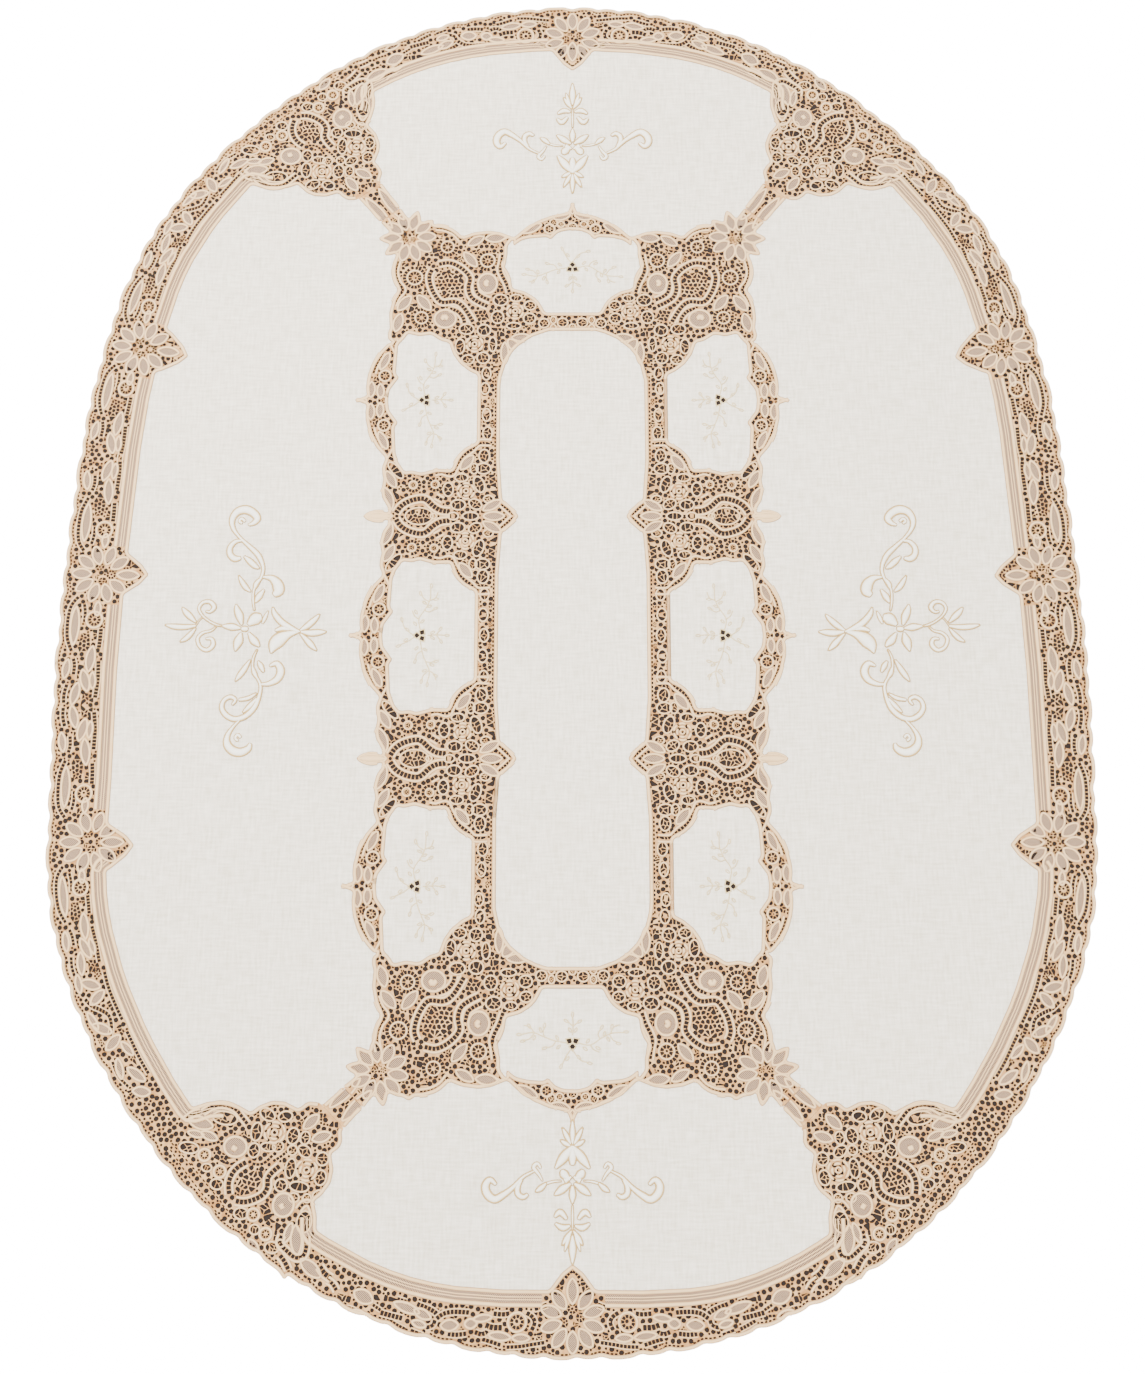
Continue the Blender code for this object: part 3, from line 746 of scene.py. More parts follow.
# ---- meshes ----
class Tape(NamedTuple):
    """A raised ribbon along (x, y, width) rows, with the height of its crown."""

    line: list
    crown: float


# A tape's section, by share of its half width and of its crown.
PROFILE = ((-1.0, 0.0), (-0.72, 0.75), (0.0, 1.0), (0.72, 0.75), (1.0, 0.0))
# Tapes that cross are laid at one of these heights in turn, in millimetres.
LAYERS = 7
LAYER_STEP = 0.05
# A tape narrower than this has a lower crown.
FULL_WIDTH = 4.0


def wear(piece: bpy.types.Object, slot: Slot, stands_for: str = "") -> None:
    """Puts a piece on the cloth's body.

    Args:
        piece: The piece.
        slot: Its material slot; not used.
        stands_for: The CAD node that it replaces, if any.
    """
    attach(piece, "root")
    if stands_for:
        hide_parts(stands_for)


def surface(piece: bpy.types.Object) -> float:
    """Area of a piece's mesh, in square metres."""
    return sum(face.area for face in piece.data.polygons)


@dataclass
class Chart:
    """The chart's place in the frame."""

    shift_x: float
    shift_y: float

    def metres(self, x: float, y: float, z: float) -> tuple[float, float, float]:
        """A place of the chart in the frame's metres."""
        return x * MM + self.shift_x, y * MM + self.shift_y, z * MM

    def loops(self, name: str) -> list[Loop]:
        """Outlines of a CAD node's top face, the widest first.

        Args:
            name: The CAD node.

        Returns:
            Its loops in chart millimetres.
        """
        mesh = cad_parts[name].data
        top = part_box(name)[1].z - 0.1 * MM
        places = [(round((v.co.x - self.shift_x) / MM, 3), round((v.co.y - self.shift_y) / MM, 3))
                  for v in mesh.vertices]
        pairs = set()
        for face in mesh.polygons:
            if face.normal.z >= 0.5 and mesh.vertices[face.vertices[0]].co.z >= top:
                corners = [places[v] for v in face.vertices]
                pairs.update(zip(corners, corners[1:] + corners[:1]))
        following: dict[Point, list[Point]] = {}
        for a, b in sorted(pairs):
            if (b, a) not in pairs and a != b:
                following.setdefault(a, []).append(b)
        result = []
        while following:
            start = min(following)
            loop, here = [], start
            while here in following:
                loop.append(here)
                options = following[here]
                after = options.pop()
                if not options:
                    del following[here]
                here = after
                if here == start:
                    break
            result.append(loop)
        return sorted(result, key=lambda loop: -abs(area(loop)))

    def mesh(self, name: str, verts: Sequence[tuple], faces: Sequence[Sequence[int]],
             finishes: Sequence[bpy.types.Material], parts: Optional[Sequence[int]] = None,
             attributes: Optional[dict] = None) -> bpy.types.Object:
        """A smooth object from chart millimetres.

        Args:
            name: The piece's name.
            verts: Places in millimetres.
            faces: Corners of each face.
            finishes: Its materials.
            parts: The material of each face.
            attributes: Numbers on each corner, by name.

        Returns:
            The linked object.
        """
        mesh = bpy.data.meshes.new(name)
        mesh.from_pydata([self.metres(*v) for v in verts], [], [list(f) for f in faces])
        for finish in finishes:
            mesh.materials.append(finish)
        if parts is not None:
            mesh.polygons.foreach_set("material_index", list(parts))
        for key, values in (attributes or {}).items():
            mesh.attributes.new(key, "FLOAT", "POINT").data.foreach_set("value", list(values))
        mesh.polygons.foreach_set("use_smooth", [True] * len(mesh.polygons))
        mesh.update()
        thing = bpy.data.objects.new(name, mesh)
        bpy.context.scene.collection.objects.link(thing)
        return thing

    def ribbons(self, name: str, tapes: Sequence[Tape], base: float, finish: bpy.types.Material,
                ground: Optional[Callable[[np.ndarray], np.ndarray]] = None) -> bpy.types.Object:
        """Raised ribbons with a crowned section.

        Args:
            name: The piece's name.
            tapes: The ribbons.
            base: Height of their feet, in millimetres.
            finish: Their material.
            ground: Gives the height of the cloth below them, added to the base.

        Returns:
            One object with them all.
        """
        verts, faces, across, along = [], [], [], []
        for index, (line, crown) in enumerate(tapes):
            data = np.asarray(line, float)
            side = np.asarray(offset(line, 1.0)) - data[:, :2]
            run = np.r_[0.0, np.cumsum(np.hypot(*np.diff(data[:, :2], axis=0).T))]
            feet = np.full(len(data), base + (index % LAYERS) * LAYER_STEP)
            if ground:
                feet += ground(data[:, :2])
            first = len(verts)
            for (x, y, width), (sx, sy), length, foot in zip(
                    data.tolist(), side.tolist(), run.tolist(), feet.tolist()):
                height = crown * min(1.0, width / FULL_WIDTH)
                for share, lift in PROFILE:
                    reach = share * width / 2
                    verts.append((x + sx * reach, y + sy * reach, foot + lift * height))
                    across.append(share)
                    along.append(length)
            span = len(PROFILE)
            for k in range(len(data) - 1):
                for j in range(span - 1):
                    a = first + k * span + j
                    faces.append((a, a + span, a + span + 1, a + 1))
        return self.mesh(name, verts, faces, [finish], attributes={"across": across, "along": along})


# ---- openwork ----
# A group of cells has at least about this many.
FEWEST_CELLS = 6.0
# By share of their pitch: how uneven its seeds are, how clear of its edge, and how far they bound each other.
UNEVEN, SEED_CLEAR, NEIGHBOURS = 0.26, 0.2, 2.6
# A larger group than the first area with hardly any seeds gets some near its corners. A cell smaller than the
# second isn't opened.
SEEDED_AREA, LEAST_CELL = 45.0, 3.0
# The tape round a leaf, the hole in a small wheel, and the width of a petal.
LEAF_RIM = 4.2
HUB = 2.8
PETAL_WIDTH = 13.0
# The tape round a leaf or wheel of the border.
BORDER_RIM = 4.4


@dataclass
class LaceWork:
    """The openings, nets and tapes of some lace, in millimetres."""

    cells: list[Loop] = field(default_factory=list)
    nets: list[Loop] = field(default_factory=list)
    tapes: list[Tape] = field(default_factory=list)

    def carried(self, place: Place) -> "LaceWork":
        """The same work with every point moved by a function."""
        return LaceWork(
            [[place(p) for p in cell] for cell in self.cells],
            [[place(p) for p in net] for net in self.nets],
            [Tape([(*place((x, y)), width) for x, y, width in tape.line], tape.crown) for tape in self.tapes])

    def only(self, keep: Callable[[Point], bool]) -> "LaceWork":
        """The parts of this work whose middles pass a test."""
        return LaceWork(
            [cell for cell in self.cells if keep(centroid(cell))],
            [net for net in self.nets if keep(centroid(net))],
            [tape for tape in self.tapes if keep(centroid([row[:2] for row in tape.line]))])

    def take(self, other: "LaceWork") -> None:
        """Adds another piece of work to this one."""
        self.cells += other.cells
        self.nets += other.nets
        self.tapes += other.tapes

    def tape(self, points: Sequence[tuple], width: float, crown: float = 0.9, tapered: float = 0.0) -> None:
        """Adds a raised tape.

        Args:
            points: Its middle line.
            width: Its width.
            crown: Height of its crown.
            tapered: Share of its length over which each end narrows.
        """
        line = smooth(points)
        last = len(line) - 1
        widths = [width * (min(1.0, 0.25 + min(k, last - k) / (last * tapered)) if tapered else 1.0)
                  for k in range(last + 1)]
        self.tapes.append(Tape([(p[0], p[1], w) for p, w in zip(line, widths)], crown))

    def round_tape(self, loop: Loop, width: float, crown: float = 0.9) -> None:
        """Adds a tape round a loop."""
        line = even([*loop, loop[0]], 3.0)
        line += line[1:2]
        self.tapes.append(Tape([(x, y, width) for x, y in line], crown))

    def row(self, points: Sequence[Point], width: float = 5.6, pitch: float = 5.8, bar: float = 1.2,
            edges: float = 0.0) -> None:
        """Adds a row of cells between bars.

        Args:
            points: The middle line of the row.
            width: Width of its cells.
            pitch: Length from cell to cell.
            bar: Width of the bar between two cells.
            edges: Width of the tapes laid along both sides, if any.
        """
        line = smooth(points, pitch)
        for start, end in zip(line, line[1:]):
            span = hypot(end[0] - start[0], end[1] - start[1])
            self.cells.append(cell_between(start, end, span - bar, width))
        if edges:
            for side in (-1, 1):
                middle = offset(smooth(points), side * (width + edges) / 2)
                self.tapes.append(Tape([(x, y, edges) for x, y in middle], 0.8))

    def cluster(self, outline: Loop, pitch: float = 6.8, bar: float = 1.0) -> None:
        """Adds irregular cells that fill a convex outline.

        Args:
            outline: The convex outline.
            pitch: Mean length from cell to cell.
            bar: Width of the bars.
        """
        if area(outline) < 0:
            outline = outline[::-1]
        pitch = min(pitch, 1.05 * (area(outline) / FEWEST_CELLS) ** 0.5)
        data = np.asarray(outline)
        low, high = data.min(axis=0), data.max(axis=0)
        draw = random.Random(round(low[0] * 7 + high[1] * 13))
        middle, reach = (low + high) / 2, (high - low) / 2
        half_rows = ceil(reach[1] / (pitch * NESTED))
        half_columns = ceil(reach[0] / pitch) + 1
        seeds = []
        for j in range(-half_rows, half_rows + 1):
            for k in range(-half_columns, half_columns + 1):
                x = middle[0] + (k + 0.5 * (j % 2)) * pitch + draw.uniform(-UNEVEN, UNEVEN) * pitch
                y = middle[1] + j * (pitch * NESTED) + draw.uniform(-UNEVEN, UNEVEN) * pitch
                seeds.append((x, y))
        spots = np.asarray(seeds)
        held = inside(spots, outline) & (clearance(spots, outline) >= pitch * SEED_CLEAR)
        seeds = [seed for seed, ok in zip(seeds, held) if ok]
        if len(seeds) < 3 and area(outline) > SEEDED_AREA:
            cx, cy = centroid(outline)
            spread = max(1, len(outline) // 4)
            seeds = [((x + cx) / 2, (y + cy) / 2) for x, y in outline[::spread]]
        for x, y in seeds:
            cell = outline
            for ox, oy in seeds:
                gap = hypot(ox - x, oy - y)
                if 0 < gap < pitch * NEIGHBOURS:
                    nx, ny = (ox - x) / gap, (oy - y) / gap
                    cell = clipped(cell, (x + ox) / 2 - nx * bar / 2, (y + oy) / 2 - ny * bar / 2, nx, ny)
            if len(cell) > 2 and abs(area(cell)) > LEAST_CELL:
                self.cells.append(chaikin(cell, CORNER_CUT))

    def pod(self, pod: Pod, pitch: float, rim: float = 0.0) -> None:
        """Adds an oval of small cells, with a tape round it where a rim is given."""
        self.cluster(oval(*pod), pitch)
        if rim:
            self.round_tape(oval(pod.x, pod.y, pod.width + rim, pod.height + rim, pod.angle, 20), rim, 0.7)

    def ring(self, x: float, y: float, radius: float, width: float, pitch: float,
             start: float = 0.0, sweep: float = 360.0) -> None:
        """Adds a ring of cells, or a part of one.

        Args:
            x: Its middle across.
            y: Its middle along.
            radius: Radius of its middle line.
            width: Width of its cells.
            pitch: Length from cell to cell.
            start: Angle at which it starts.
            sweep: Angle through which it runs.
        """
        count = max(3, round(radius * radians(abs(sweep)) / pitch))
        half = radians(abs(sweep)) / count / 2 * (1 - 0.9 / pitch)
        for k in range(count):
            middle = radians(start) + radians(sweep) * (k + 0.5) / count
            corners = [(radius + r, middle + a) for r, a in (
                (-width / 2, -half), (width / 2, -half), (width / 2, half), (-width / 2, half))]
            self.cells.append(chaikin([(x + r * cos(a), y + r * sin(a)) for r, a in corners], CORNER_CUT))

    def wheel(self, wheel: Wheel) -> None:
        """Adds a ring of cells inside a round tape."""
        x, y, radius, width, pitch = wheel
        self.ring(x, y, radius * 0.6, width, pitch)
        self.round_tape(oval(x, y, 2 * radius, 2 * radius, 0.0, 20), BORDER_RIM)

    def spiral(self, spiral: Spiral) -> None:
        """Adds a round of small cells inside a round tape, with an outer row of cells.

        Args:
            spiral: Its sizes.
        """
        x, y, inner, outer, start, sweep = spiral
        self.ring(x, y, inner, min(6.0, inner * 1.5), 5.6)
        middle = (inner + outer) / 2
        self.round_tape(oval(x, y, 2 * middle, 2 * middle, 0.0, 24), max(3.0, outer - inner - 6.0), 0.9)
        self.ring(x, y, outer, 6.2, 5.8, start, sweep)

    def rosette(self, x: float, y: float, radius: float) -> None:
        """Adds a small wheel: a ring of cells round a hole."""
        self.ring(x, y, radius * 0.66, radius * 0.56, 5.4)
        self.cells.append(oval(x, y, HUB, HUB, 0.0, 8))
        self.round_tape(oval(x, y, 2 * radius + 2, 2 * radius + 2, 0.0, 20), 4.0, 0.8)

    def leaf(self, leaf: Leaf, rim: float = LEAF_RIM) -> None:
        """Adds a leaf of net inside a tape."""
        x, y, length, width, angle = leaf
        self.nets.append(lens(x, y, length, width, angle))
        self.round_tape(lens(x, y, length + rim * 1.1, width + rim * 0.9, angle, 14), rim, 0.9)

    def bud(self, lobe: Sequence[Point], bud: Pod) -> None:
        """Adds a bud: a tape round an oval of net, and a padded lobe on a line drawn towards its middle."""
        self.nets.append(oval(*bud, 16))
        self.round_tape(oval(*bud, 24), 5.0, 1.0)
        line = [(x + (bud.x - x) * 0.75, y + (bud.y - y) * 0.75) for x, y in lobe]
        self.tape(line, bud.width * 0.36, 1.2, 0.35)

    def petals(self, inner: float, outer: float, angles: Iterable[float]) -> None:
        """Adds petals of net, each inside a tape, round the origin from one radius out to another."""
        for angle in angles:
            x, y = turned([((inner + outer) / 2, 0.0)], angle)[0]
            self.leaf(Leaf(x, y, outer - inner, PETAL_WIDTH, angle))

    def rose(self, x: float, y: float, radius: float) -> None:
        """Adds a ruched rose: short curled tapes wound about its middle.

        Args:
            x: Its middle across.
            y: Its middle along.
            radius: Its radius.
        """
        self.round_tape(oval(x, y, radius * 0.5, radius * 0.5, 0.0, 10), 3.2, 1.8)
        for turn, (share, count) in enumerate(((0.55, 4), (0.88, 6))):
            for k in range(count):
                angle = 360.0 * k / count + 31.0 * turn
                arc = [(radius * share * cos(radians(a)), radius * share * sin(radians(a)))
                       for a in (-34.0 + 9 * turn, 0.0, 34.0 - 9 * turn)]
                self.tape(turned(arc, angle, (x, y)), 5.2, 1.9, 0.3)


EDGE_TAPE = 6.4
LACE_BASE = 1.1
# Cells keep this far inside a node's edge, and this share of two cells' radii apart.
CELL_MARGIN, CELL_SHARE = 2.4, 0.80
# The ground keeps clear of cells by the first and runs under tapes by the second.
CELL_ROOM, TAPE_LAP = 0.8, 0.9
# An edge this near to another piece's is a seam, and has no tape.
SEAM_REACH = 1.6
# The ground's cells: their pitch and radii, the room between them, the tries at placing them, their margin
# from an edge, and how uneven they are.
GROUND_PITCH = 8.7
GROUND_SIZES = (4.0, 3.0, 2.1)
GROUND_BAR, GROUND_CLEAR = 0.9, 0.6
GROUND_TRIES, GROUND_SPOTS = 5, 9000
GROUND_MARGIN = 8.0
GROUND_UNEVEN = 0.16
GROUND_CORNERS = 7
GROUND_SEED = 11


class Mask:
    """Which square millimetres of some lace are taken."""

    def __init__(self, loop: Loop) -> None:
        """Clears the box round a loop."""
        data = np.asarray(loop)
        self.low = np.floor(data.min(axis=0)) - 10.0
        size = np.ceil(data.max(axis=0) - self.low).astype(int) + 20
        self.taken = np.zeros((size[0], size[1]), bool)

    def index(self, points: np.ndarray) -> tuple[np.ndarray, np.ndarray]:
        """Cells of the mask under some points."""
        cells = np.clip((points - self.low).astype(int), 0, np.asarray(self.taken.shape) - 1)
        return cells[:, 0], cells[:, 1]

    def stamp(self, points: np.ndarray, radius: float) -> None:
        """Takes a disc round each point.

        Args:
            points: The points, one a row.
            radius: The discs' radius.
        """
        reach = int(radius) + 1
        for dx in range(-reach, reach + 1):
            for dy in range(-reach, reach + 1):
                if dx * dx + dy * dy <= radius * radius:
                    self.taken[self.index(points + (dx, dy))] = True

    def clip(self, loops: Sequence[Loop], margin: float) -> None:
        """Takes all that lies outside some lace, and a margin along its edges.

        Args:
            loops: The lace's outer edge and its windows.
            margin: Width of the margin.
        """
        starts = np.concatenate([np.asarray(loop) for loop in loops])
        ends = np.concatenate([np.roll(np.asarray(loop), -1, axis=0) for loop in loops])
        for k in range(self.taken.shape[0]):
            x = self.low[0] + k + 0.5
            met = (starts[:, 0] > x) != (ends[:, 0] > x)
            a, b = starts[met], ends[met]
            slopes = (b[:, 1] - a[:, 1]) / (b[:, 0] - a[:, 0])
            crossings = np.sort(a[:, 1] + (x - a[:, 0]) * slopes) - self.low[1]
            column = np.ones(self.taken.shape[1], bool)
            for low, high in zip(crossings[::2], crossings[1::2]):
                column[int(low):int(high)] = False
            self.taken[k] |= column
        for loop in loops:
            self.stamp(np.asarray(even(closed(loop), 1.5)), margin)

    def fill(self, loop: Loop) -> None:
        """Takes the inside of a small loop.

        Args:
            loop: The outline.
        """
        data = np.asarray(loop)
        grid = grid_points(data.min(axis=0), data.max(axis=0), 1.0)
        grid = grid[inside(grid, loop)]
        if len(grid):
            self.taken[self.index(grid)] = True

    def free(self, points: np.ndarray, radius: float) -> np.ndarray:
        """Which points have nothing taken at a radius round them."""
        clear = ~self.taken[self.index(points)]
        for k in range(6):
            clear &= ~self.taken[self.index(points + (radius * cos(k * pi / 3), radius * sin(k * pi / 3)))]
        return clear


@dataclass
class LacePiece:
    """One node of the lace: a close-worked ground with its openings and nets, and tapes raised on it."""

    chart: Chart
    name: str
    work: LaceWork
    grounds: tuple
    neighbours: tuple = ()

    def outlines(self) -> list[Loop]:
        """The node's outer edge and its windows, with their corners eased."""
        loops = self.chart.loops(self.name)
        return [chaikin(loop, *EDGE_EASE) for loop in loops if abs(area(loop)) > WINDOW_AREA]

    def in_lace(self, points: np.ndarray, loops: Sequence[Loop], margin: float = 0.0) -> np.ndarray:
        """Which points lie in the lace.

        Args:
            points: The points, one a row.
            loops: The lace's outer edge and its windows.
            margin: How far from them a point lies at least.

        Returns:
            True or false for each point.
        """
        outer = np.asarray(loops[0])
        held = ((points > outer.min(axis=0)) & (points < outer.max(axis=0))).all(axis=1)
        some = points[held]
        kept = inside(some, loops[0])
        for loop in loops[1:]:
            kept &= ~inside(some, loop)
        if margin > 0:
            for loop in loops:
                kept &= clearance(some, loop) > margin
        held[held] = kept
        return held

    def kept_cells(self, loops: Sequence[Loop]) -> list[Loop]:
        """The openings that lie in this node and don't run into an earlier one.

        Args:
            loops: The node's outlines.

        Returns:
            The openings that are kept.
        """
        middles = np.asarray([centroid(cell) for cell in self.work.cells])
        held = self.in_lace(middles, loops, CELL_MARGIN)
        cells = [cell for cell, ok in zip(self.work.cells, held) if ok]
        discs = [(*centroid(cell), (abs(area(cell)) / pi) ** 0.5) for cell in cells]
        return [cells[k] for k in spaced(discs, CELL_SHARE)]

    def kept_tapes(self, loops: Sequence[Loop]) -> list[Tape]:
        """The tapes that lie in this node, cut where they leave it.

        Args:
            loops: The node's outlines.

        Returns:
            The tapes that are kept.
        """
        kept = []
        everywhere = np.concatenate([np.asarray(tape.line)[:, :2] for tape in self.work.tapes])
        marks = self.in_lace(everywhere, loops)
        start = 0
        for tape in self.work.tapes:
            held = marks[start:start + len(tape.line)].tolist()
            start += len(tape.line)
            kept += [Tape(part, tape.crown) for part in stretches(tape.line, held)]
        return kept

    def edge_tapes(self, loops: Sequence[Loop]) -> list[Tape]:
        """Tapes along the node's edges, where no other piece lies beside it.

        Args:
            loops: The node's outlines.

        Returns:
            The tapes.
        """
        others = [loop for name in self.neighbours for loop in self.chart.loops(name)]
        tapes = []
        for loop in loops:
            line = even(closed(loop), 3.0)
            free = np.ones(len(line), bool)
            for other in others:
                free &= clearance(np.asarray(line), other) > SEAM_REACH
            edge = [(x, y, EDGE_TAPE) for x, y in offset(line, EDGE_TAPE / 2)]
            tapes += [Tape(part, 0.8) for part in stretches(edge, free.tolist())]
        return tapes

    def ground_cells(self, loops: Sequence[Loop], cells: Sequence[Loop], nets: Sequence[Loop],
                     tapes: Sequence[Tape]) -> list[Loop]:
        """Cells of the ground of bars, wherever nothing else is worked.

        Args:
            loops: The node's outlines.
            cells: The openings of its motifs.
            nets: Its leaves of net.
            tapes: Its tapes.

        Returns:
            Small uneven cells.
        """
        mask = Mask(loops[0])
        mask.clip(loops, GROUND_MARGIN - GROUND_SIZES[0])
        reaches: dict[float, list[Point]] = {}
        for cell in cells:
            reaches.setdefault(round(2 * (abs(area(cell)) / pi) ** 0.5) / 2, []).append(centroid(cell))
        for reach, middles in reaches.items():
            mask.stamp(np.asarray(middles), reach + CELL_ROOM)
        for net in nets:
            mask.fill(net)
        widths: dict[int, list[Point]] = {}
        for tape in tapes:
            for x, y, width in tape.line:
                widths.setdefault(round(width), []).append((x, y))
        for width, points in widths.items():
            mask.stamp(np.asarray(points), width / 2 - TAPE_LAP)
        draw = np.random.default_rng(GROUND_SEED)
        columns, ranks = (int(n / GROUND_PITCH / k) for n, k in zip(mask.taken.shape, (1.0, NESTED)))
        k, j = np.meshgrid(np.arange(columns), np.arange(ranks))
        nested = np.stack([(k + 0.5 * (j % 2)) * GROUND_PITCH, j * GROUND_PITCH * NESTED], axis=-1)
        first = nested.reshape(-1, 2) + mask.low
        seeds, sizes = np.empty((0, 2)), np.empty(0)
        for size in GROUND_SIZES:
            for _ in range(GROUND_TRIES):
                if len(first):
                    more = first + draw.uniform(-GROUND_UNEVEN, GROUND_UNEVEN, first.shape) * GROUND_PITCH
                    first = first[:0]
                else:
                    spots = np.argwhere(~mask.taken)
                    more = spots[draw.permutation(len(spots))[:GROUND_SPOTS]] + mask.low + 0.5
                more = more[mask.free(more, size)]
                more = more[spaced((x, y, size + GROUND_BAR / 2) for x, y in more.tolist())]
                if len(more):
                    mask.stamp(more, size + GROUND_CLEAR)
                    seeds, sizes = np.r_[seeds, more], np.r_[sizes, np.full(len(more), size)]
        if not len(seeds):
            return []
        radii = draw.uniform(0.92, 1.15, (len(seeds), GROUND_CORNERS)) * sizes[:, None]
        turns = 2 * pi * (np.arange(GROUND_CORNERS) + draw.uniform(0, 1, (len(seeds), 1))) / GROUND_CORNERS
        x = seeds[:, 0:1] + radii * np.cos(turns)
        y = seeds[:, 1:2] + radii * np.sin(turns)
        return [list(zip(xs, ys)) for xs, ys in zip(x.tolist(), y.tolist())]

    def build(self) -> tuple[bpy.types.Object, bpy.types.Object]:
        """Builds the ground and the tapes.

        Returns:
            The ground, which replaces the CAD node, and the tapes on it.
        """
        loops = self.outlines()
        cells = self.kept_cells(loops)
        nets = self.work.nets
        if nets:
            held = self.in_lace(np.asarray([centroid(net) for net in nets]), loops)
            nets = [net for net, ok in zip(nets, held) if ok]
        tapes = self.kept_tapes(loops)
        cells += self.ground_cells(loops, cells, nets, tapes)
        corners, triangles, sources = partition(loops + cells + nets)
        first_net = len(loops) + len(cells)
        cut = set(range(1, first_net))
        kept = [k for k, held_by in enumerate(sources) if 0 in held_by and not held_by & cut]
        places, faces = compact(corners, [triangles[k] for k in kept])
        verts = [(x, y, LACE_BASE) for x, y in places.tolist()]
        parts = [int(max(sources[k]) >= first_net) for k in kept]
        ground = self.chart.mesh(f"{self.name}_ground", verts, faces, self.grounds[:2], parts)
        tapes += self.edge_tapes(loops)
        raised = self.chart.ribbons(f"{self.name}_tapes", tapes, LACE_BASE + 0.02, self.grounds[2])
        wear(ground, Slot.LACE, self.name)
        wear(raised, Slot.LACE)
        log.info("%s: %d openings, %d tapes, %d triangles", self.name, len(cells), len(tapes), len(faces))
        return ground, raised


# ---- charts of the lattice, in the first quarter ----
CORNER_LEAVES = rows(
    Leaf,
    (168, 709, 27, 10, 150), (134, 715, 30, 12, 175), (177, 674, 30, 11, 50), (290, 592, 30, 12, 130),
    (256, 593, 31, 12, 50), (300, 556, 30, 12, 105), (87, 528, 30, 10, 0), (101, 514, 24, 12, 50),
    (116, 500, 35, 9, 90),
)
CORNER_LOBES = (
    ((137, 643), (148, 645), (157, 634), (153, 620), (141, 613)),
    ((207, 556), (212, 572), (226, 577), (236, 568), (235, 553)),
)
CORNER_BUDS = rows(Pod, (147, 629, 33, 37), (219, 563, 37, 33))
CORNER_SPIRALS = rows(
    Spiral,
    (217, 698, 6.5, 15.5, 50, -235), (273, 640, 8.5, 18.0, 60, -330), (147, 672, 7.5, 17.0, 95, -200),
    (260, 565, 6.5, 15.5, 20, -320),
)
CORNER_PODS = rows(
    Pod,
    (97, 602, 18, 10), (73, 588, 17, 14), (74, 564, 18, 16), (101, 550, 22, 9), (129, 566, 18, 20),
    (124, 598, 22, 18), (137, 516, 10, 24), (153, 491, 18, 18), (179, 488, 18, 14), (193, 512, 13, 24),
    (182, 544, 22, 16), (152, 542, 20, 18),
)
CORNER_CLUSTERS = (
    ((188, 604), (206, 602), (222, 604), (230, 622), (236, 646), (222, 652), (204, 648), (188, 636)),
    ((132, 529), (116, 531), (117, 546), (140, 547)), ((46, 534), (72, 535), (70, 544), (48, 543)),
    ((76, 541), (66, 552), (84, 551)), ((126, 462), (136, 464), (138, 497), (128, 500)),
    ((152, 466), (172, 466), (171, 475), (153, 474)), ((143, 563), (162, 558), (170, 577), (150, 580)),
    ((230, 680), (247, 680), (250, 692), (236, 698)), ((270, 660), (254, 656), (252, 672), (268, 674)),
    ((197, 668), (190, 668), (194, 682), (199, 680)), ((164, 678), (160, 695), (176, 691)),
    ((124, 652), (122, 662), (131, 660)), ((131, 612), (119, 614), (121, 633), (131, 634)),
    ((256, 626), (258, 608), (244, 606)), ((306, 612), (286, 614), (296, 622)),
    ((272, 546), (258, 545), (266, 556)), ((226, 713), (238, 712), (238, 724), (226, 724)),
    ((283, 655), (296, 655), (296, 668), (284, 668)), ((266, 582), (283, 574), (280, 590), (268, 593)),
    ((107, 700), (99, 703), (104, 708)), ((129, 698), (120, 703), (132, 705)),
)
CORNER_ROWS = rows(
    Route,
    (5.2, 5.6, ((232, 665), (214, 668), (197, 661), (184, 650), (177, 638), (180, 621), (175, 604),
         (162, 594), (146, 586))),
    (5.2, 5.6, ((243, 655), (248, 642), (245, 624), (238, 608), (226, 594), (203, 595), (190, 587),
         (180, 573), (171, 557))),
    (4.6, 5.4, ((168, 628), (165, 612), (154, 603), (143, 598))),
    (4.6, 5.4, ((212, 582), (198, 577), (188, 565), (186, 555))),
    (4.4, 5.2, ((238, 735), (222, 733), (205, 725), (193, 711))),
    (4.0, 5.4, ((303, 672), (307, 651), (302, 631), (293, 617), (302, 604), (309, 588))),
    (4.2, 5.4, ((121, 684), (123, 668), (125, 652), (114, 628), (109, 612))),
    (2.8, 6.0, ((192, 713), (178, 722), (163, 726))), (7.6, 5.2, ((123, 702), (99, 716))),
    (2.8, 7.0, ((312, 575), (307, 548))),
)
CORNER_ROSES = ((99.0, 577.0, 16.0), (168.0, 516.0, 16.0))
# By the end, 1 far and -1 near: the flowers' places, and the corner motifs' places and turns.
CORNER_FLOWERS = {1: (284.0, 716.0), -1: (302.0, 703.0)}
CORNER_MOTIFS = {1: (466.0, 921.0, 46.0), -1: (498.0, 869.0, 37.5)}
# Where a bar meets a corner motif, along the motif's axis.
MOTIF_FOOT = -158.0
# A flower of the lattice, about its middle, with the bar along the first axis.
FLOWER_HEART = rows(Pod, (18, 4, 14, 11), (5, 13, 10, 10), (2, -7, 13, 10), (-7, 3, 10, 9), (-9, -6, 7, 8))

